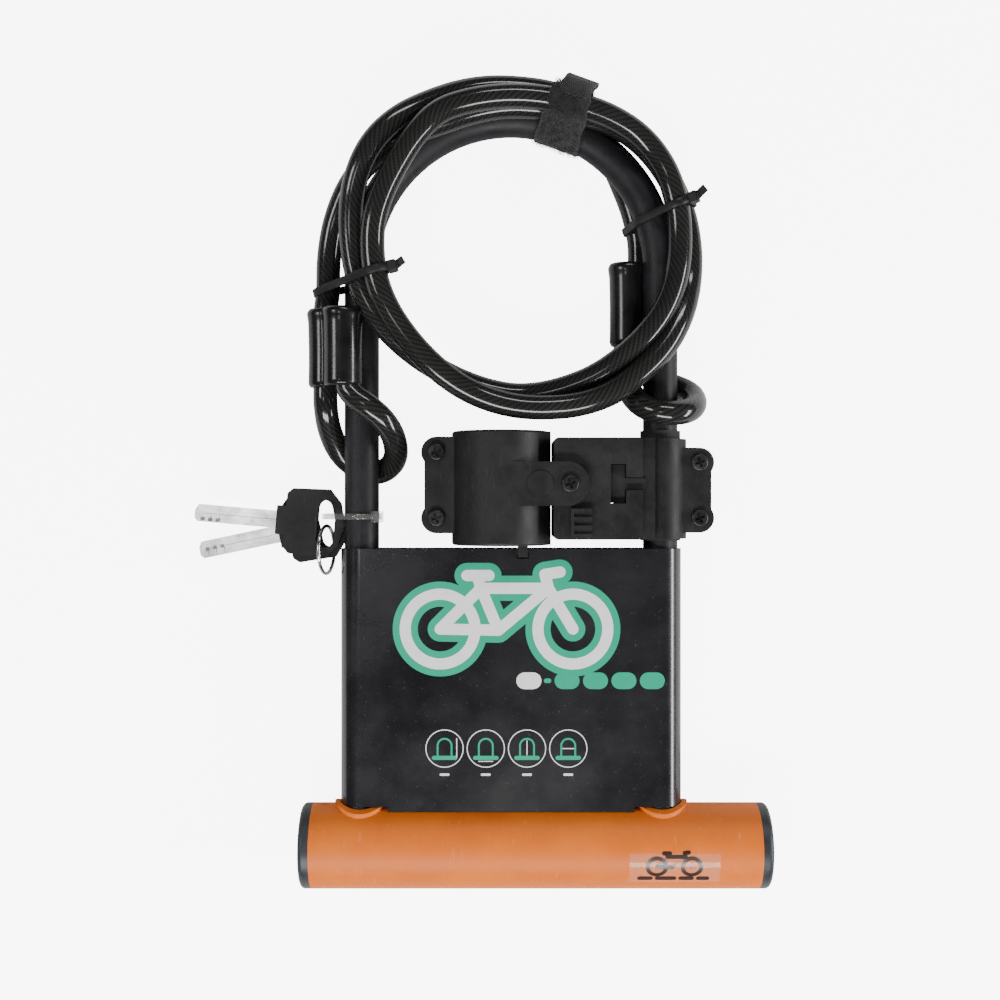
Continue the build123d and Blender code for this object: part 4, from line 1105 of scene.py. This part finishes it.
def crossbar_label():
    """Clear label with a small bicycle pictogram and a word bar."""
    x0, x1, y0, y1 = 0.0500, 0.0885, -0.0130, 0.0010
    columns, rows = 40, 16
    points = [on_bar(x0 + (x1 - x0) * i / columns, y0 + (y1 - y0) * j / rows, 0.00006)
              for j in range(rows + 1) for i in range(columns + 1)]
    faces = []
    for j in range(rows):
        for i in range(columns):
            a = j * (columns + 1) + i
            faces.append((a, a + 1, a + columns + 2, a + columns + 1))
    piece_of("bar_label_film", mesh_of("bar_label_film", points, faces), label_film, "crossbar")
    art = bicycle(0.00025, 0.0690, -0.0040, 0.26)
    for left, right in ((0.0545, 0.0590), (0.0620, 0.0690), (0.0720, 0.0765), (0.0795, 0.0830)):
        art.append(bar(left, -0.0108, right, -0.0108, 0.0011))
    printed("bar_label_print", art, lambda x, y, h: on_bar(x, y, h + 0.00008), brown_ink, "crossbar",
            0.00002)


crossbar_label()

# ------------------------------------------------------------------ clear tie on the keys

def key_tie():
    """Clear tie round the left leg and through both keys' eyes."""
    low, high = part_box("key_tie")
    y = (low.y + high.y) / 2 - lock_y
    left = low.x + 0.0011 - lock_x
    centre = lock(-leg_x, y, axis_z)
    rounds = [(0.0, axis_z, vinyl_radius), (left + leg_x + 0.0016, low.z + 0.0028, 0.0012),
              (left + leg_x + 0.0016, 0.0150, 0.0012), (left + leg_x + 0.0100, low.z + 0.0028, 0.0012)]
    loop = hugging_loop(rounds, 0.0008, 140)
    band, _ = band_mesh("key_loop_tie", loop, centre, Vector((1, 0, 0)), 0.0025, 0.0011)
    head = block_mesh("head", (0.0048, 0.0050, 0.0040), lock(-leg_x + 0.0074, y, axis_z + 0.0082),
                      Matrix.Rotation(0.5, 3, "Y"), 0.0006)
    made = piece_of("key_loop_tie", joined("key_loop_tie", [band, head]), finish["clear_nylon"], "shackle")
    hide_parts("key_tie")


key_tie()

# ------------------------------------------------------------------ floor and light

def floor():
    """Plain pale ground that stays bright where the camera sees it."""
    points = [(x, y, -0.0003) for x, y in ((-2, -2), (2, -2), (2, 2), (-2, 2))]
    mesh = bpy.data.meshes.new("floor")
    mesh.from_pydata(points, [], [(0, 1, 2, 3)])
    material = bpy.data.materials.new("pale_ground")
    material.use_nodes = True
    tree = material.node_tree
    shader = tree.nodes["Principled BSDF"]
    shader.inputs["Base Color"].default_value = (0.90, 0.90, 0.90, 1)
    shader.inputs["Roughness"].default_value = 0.9
    shader.inputs["Emission Color"].default_value = (1, 1, 1, 1)
    seen = tree.nodes.new("ShaderNodeLightPath").outputs["Is Camera Ray"]
    tree.links.new(math_node(tree, "MULTIPLY", seen, 7.0), shader.inputs["Emission Strength"])
    mesh.materials.append(material)
    ground = bpy.data.objects.new("floor", mesh)
    bpy.context.scene.collection.objects.link(ground)


def area_light(name, place, target, size, power):
    data = bpy.data.lights.new(name, "AREA")
    data.shape = "RECTANGLE"
    data.size, data.size_y = size
    data.energy = power
    lamp = bpy.data.objects.new(name, data)
    lamp.location = place
    lamp.rotation_euler = (Vector(target) - Vector(place)).to_track_quat("-Z", "Y").to_euler()
    bpy.context.scene.collection.objects.link(lamp)


def lights():
    world = bpy.data.worlds.new("studio")
    bpy.context.scene.world = world
    world.use_nodes = True
    world.node_tree.nodes["Background"].inputs["Color"].default_value = (1, 1, 1, 1)
    world.node_tree.nodes["Background"].inputs["Strength"].default_value = 0.07
    middle = lock(0, 0.15, 0)
    area_light("key", lock(-0.10, -0.55, 0.75), middle, (0.8, 0.22), 11)
    area_light("right", lock(0.90, 0.02, 0.40), middle, (0.75, 0.16), 8)
    area_light("left", lock(-0.80, 0.35, 0.80), middle, (0.25, 0.3), 2.5)
    area_light("back", lock(0.15, 0.95, 0.70), middle, (0.5, 0.12), 2.5)
    area_light("blades", lock(-0.32, 0.15, 1.20), lock(-0.11, 0.15, 0), (0.16, 0.20), 0.5)


floor()
lights()
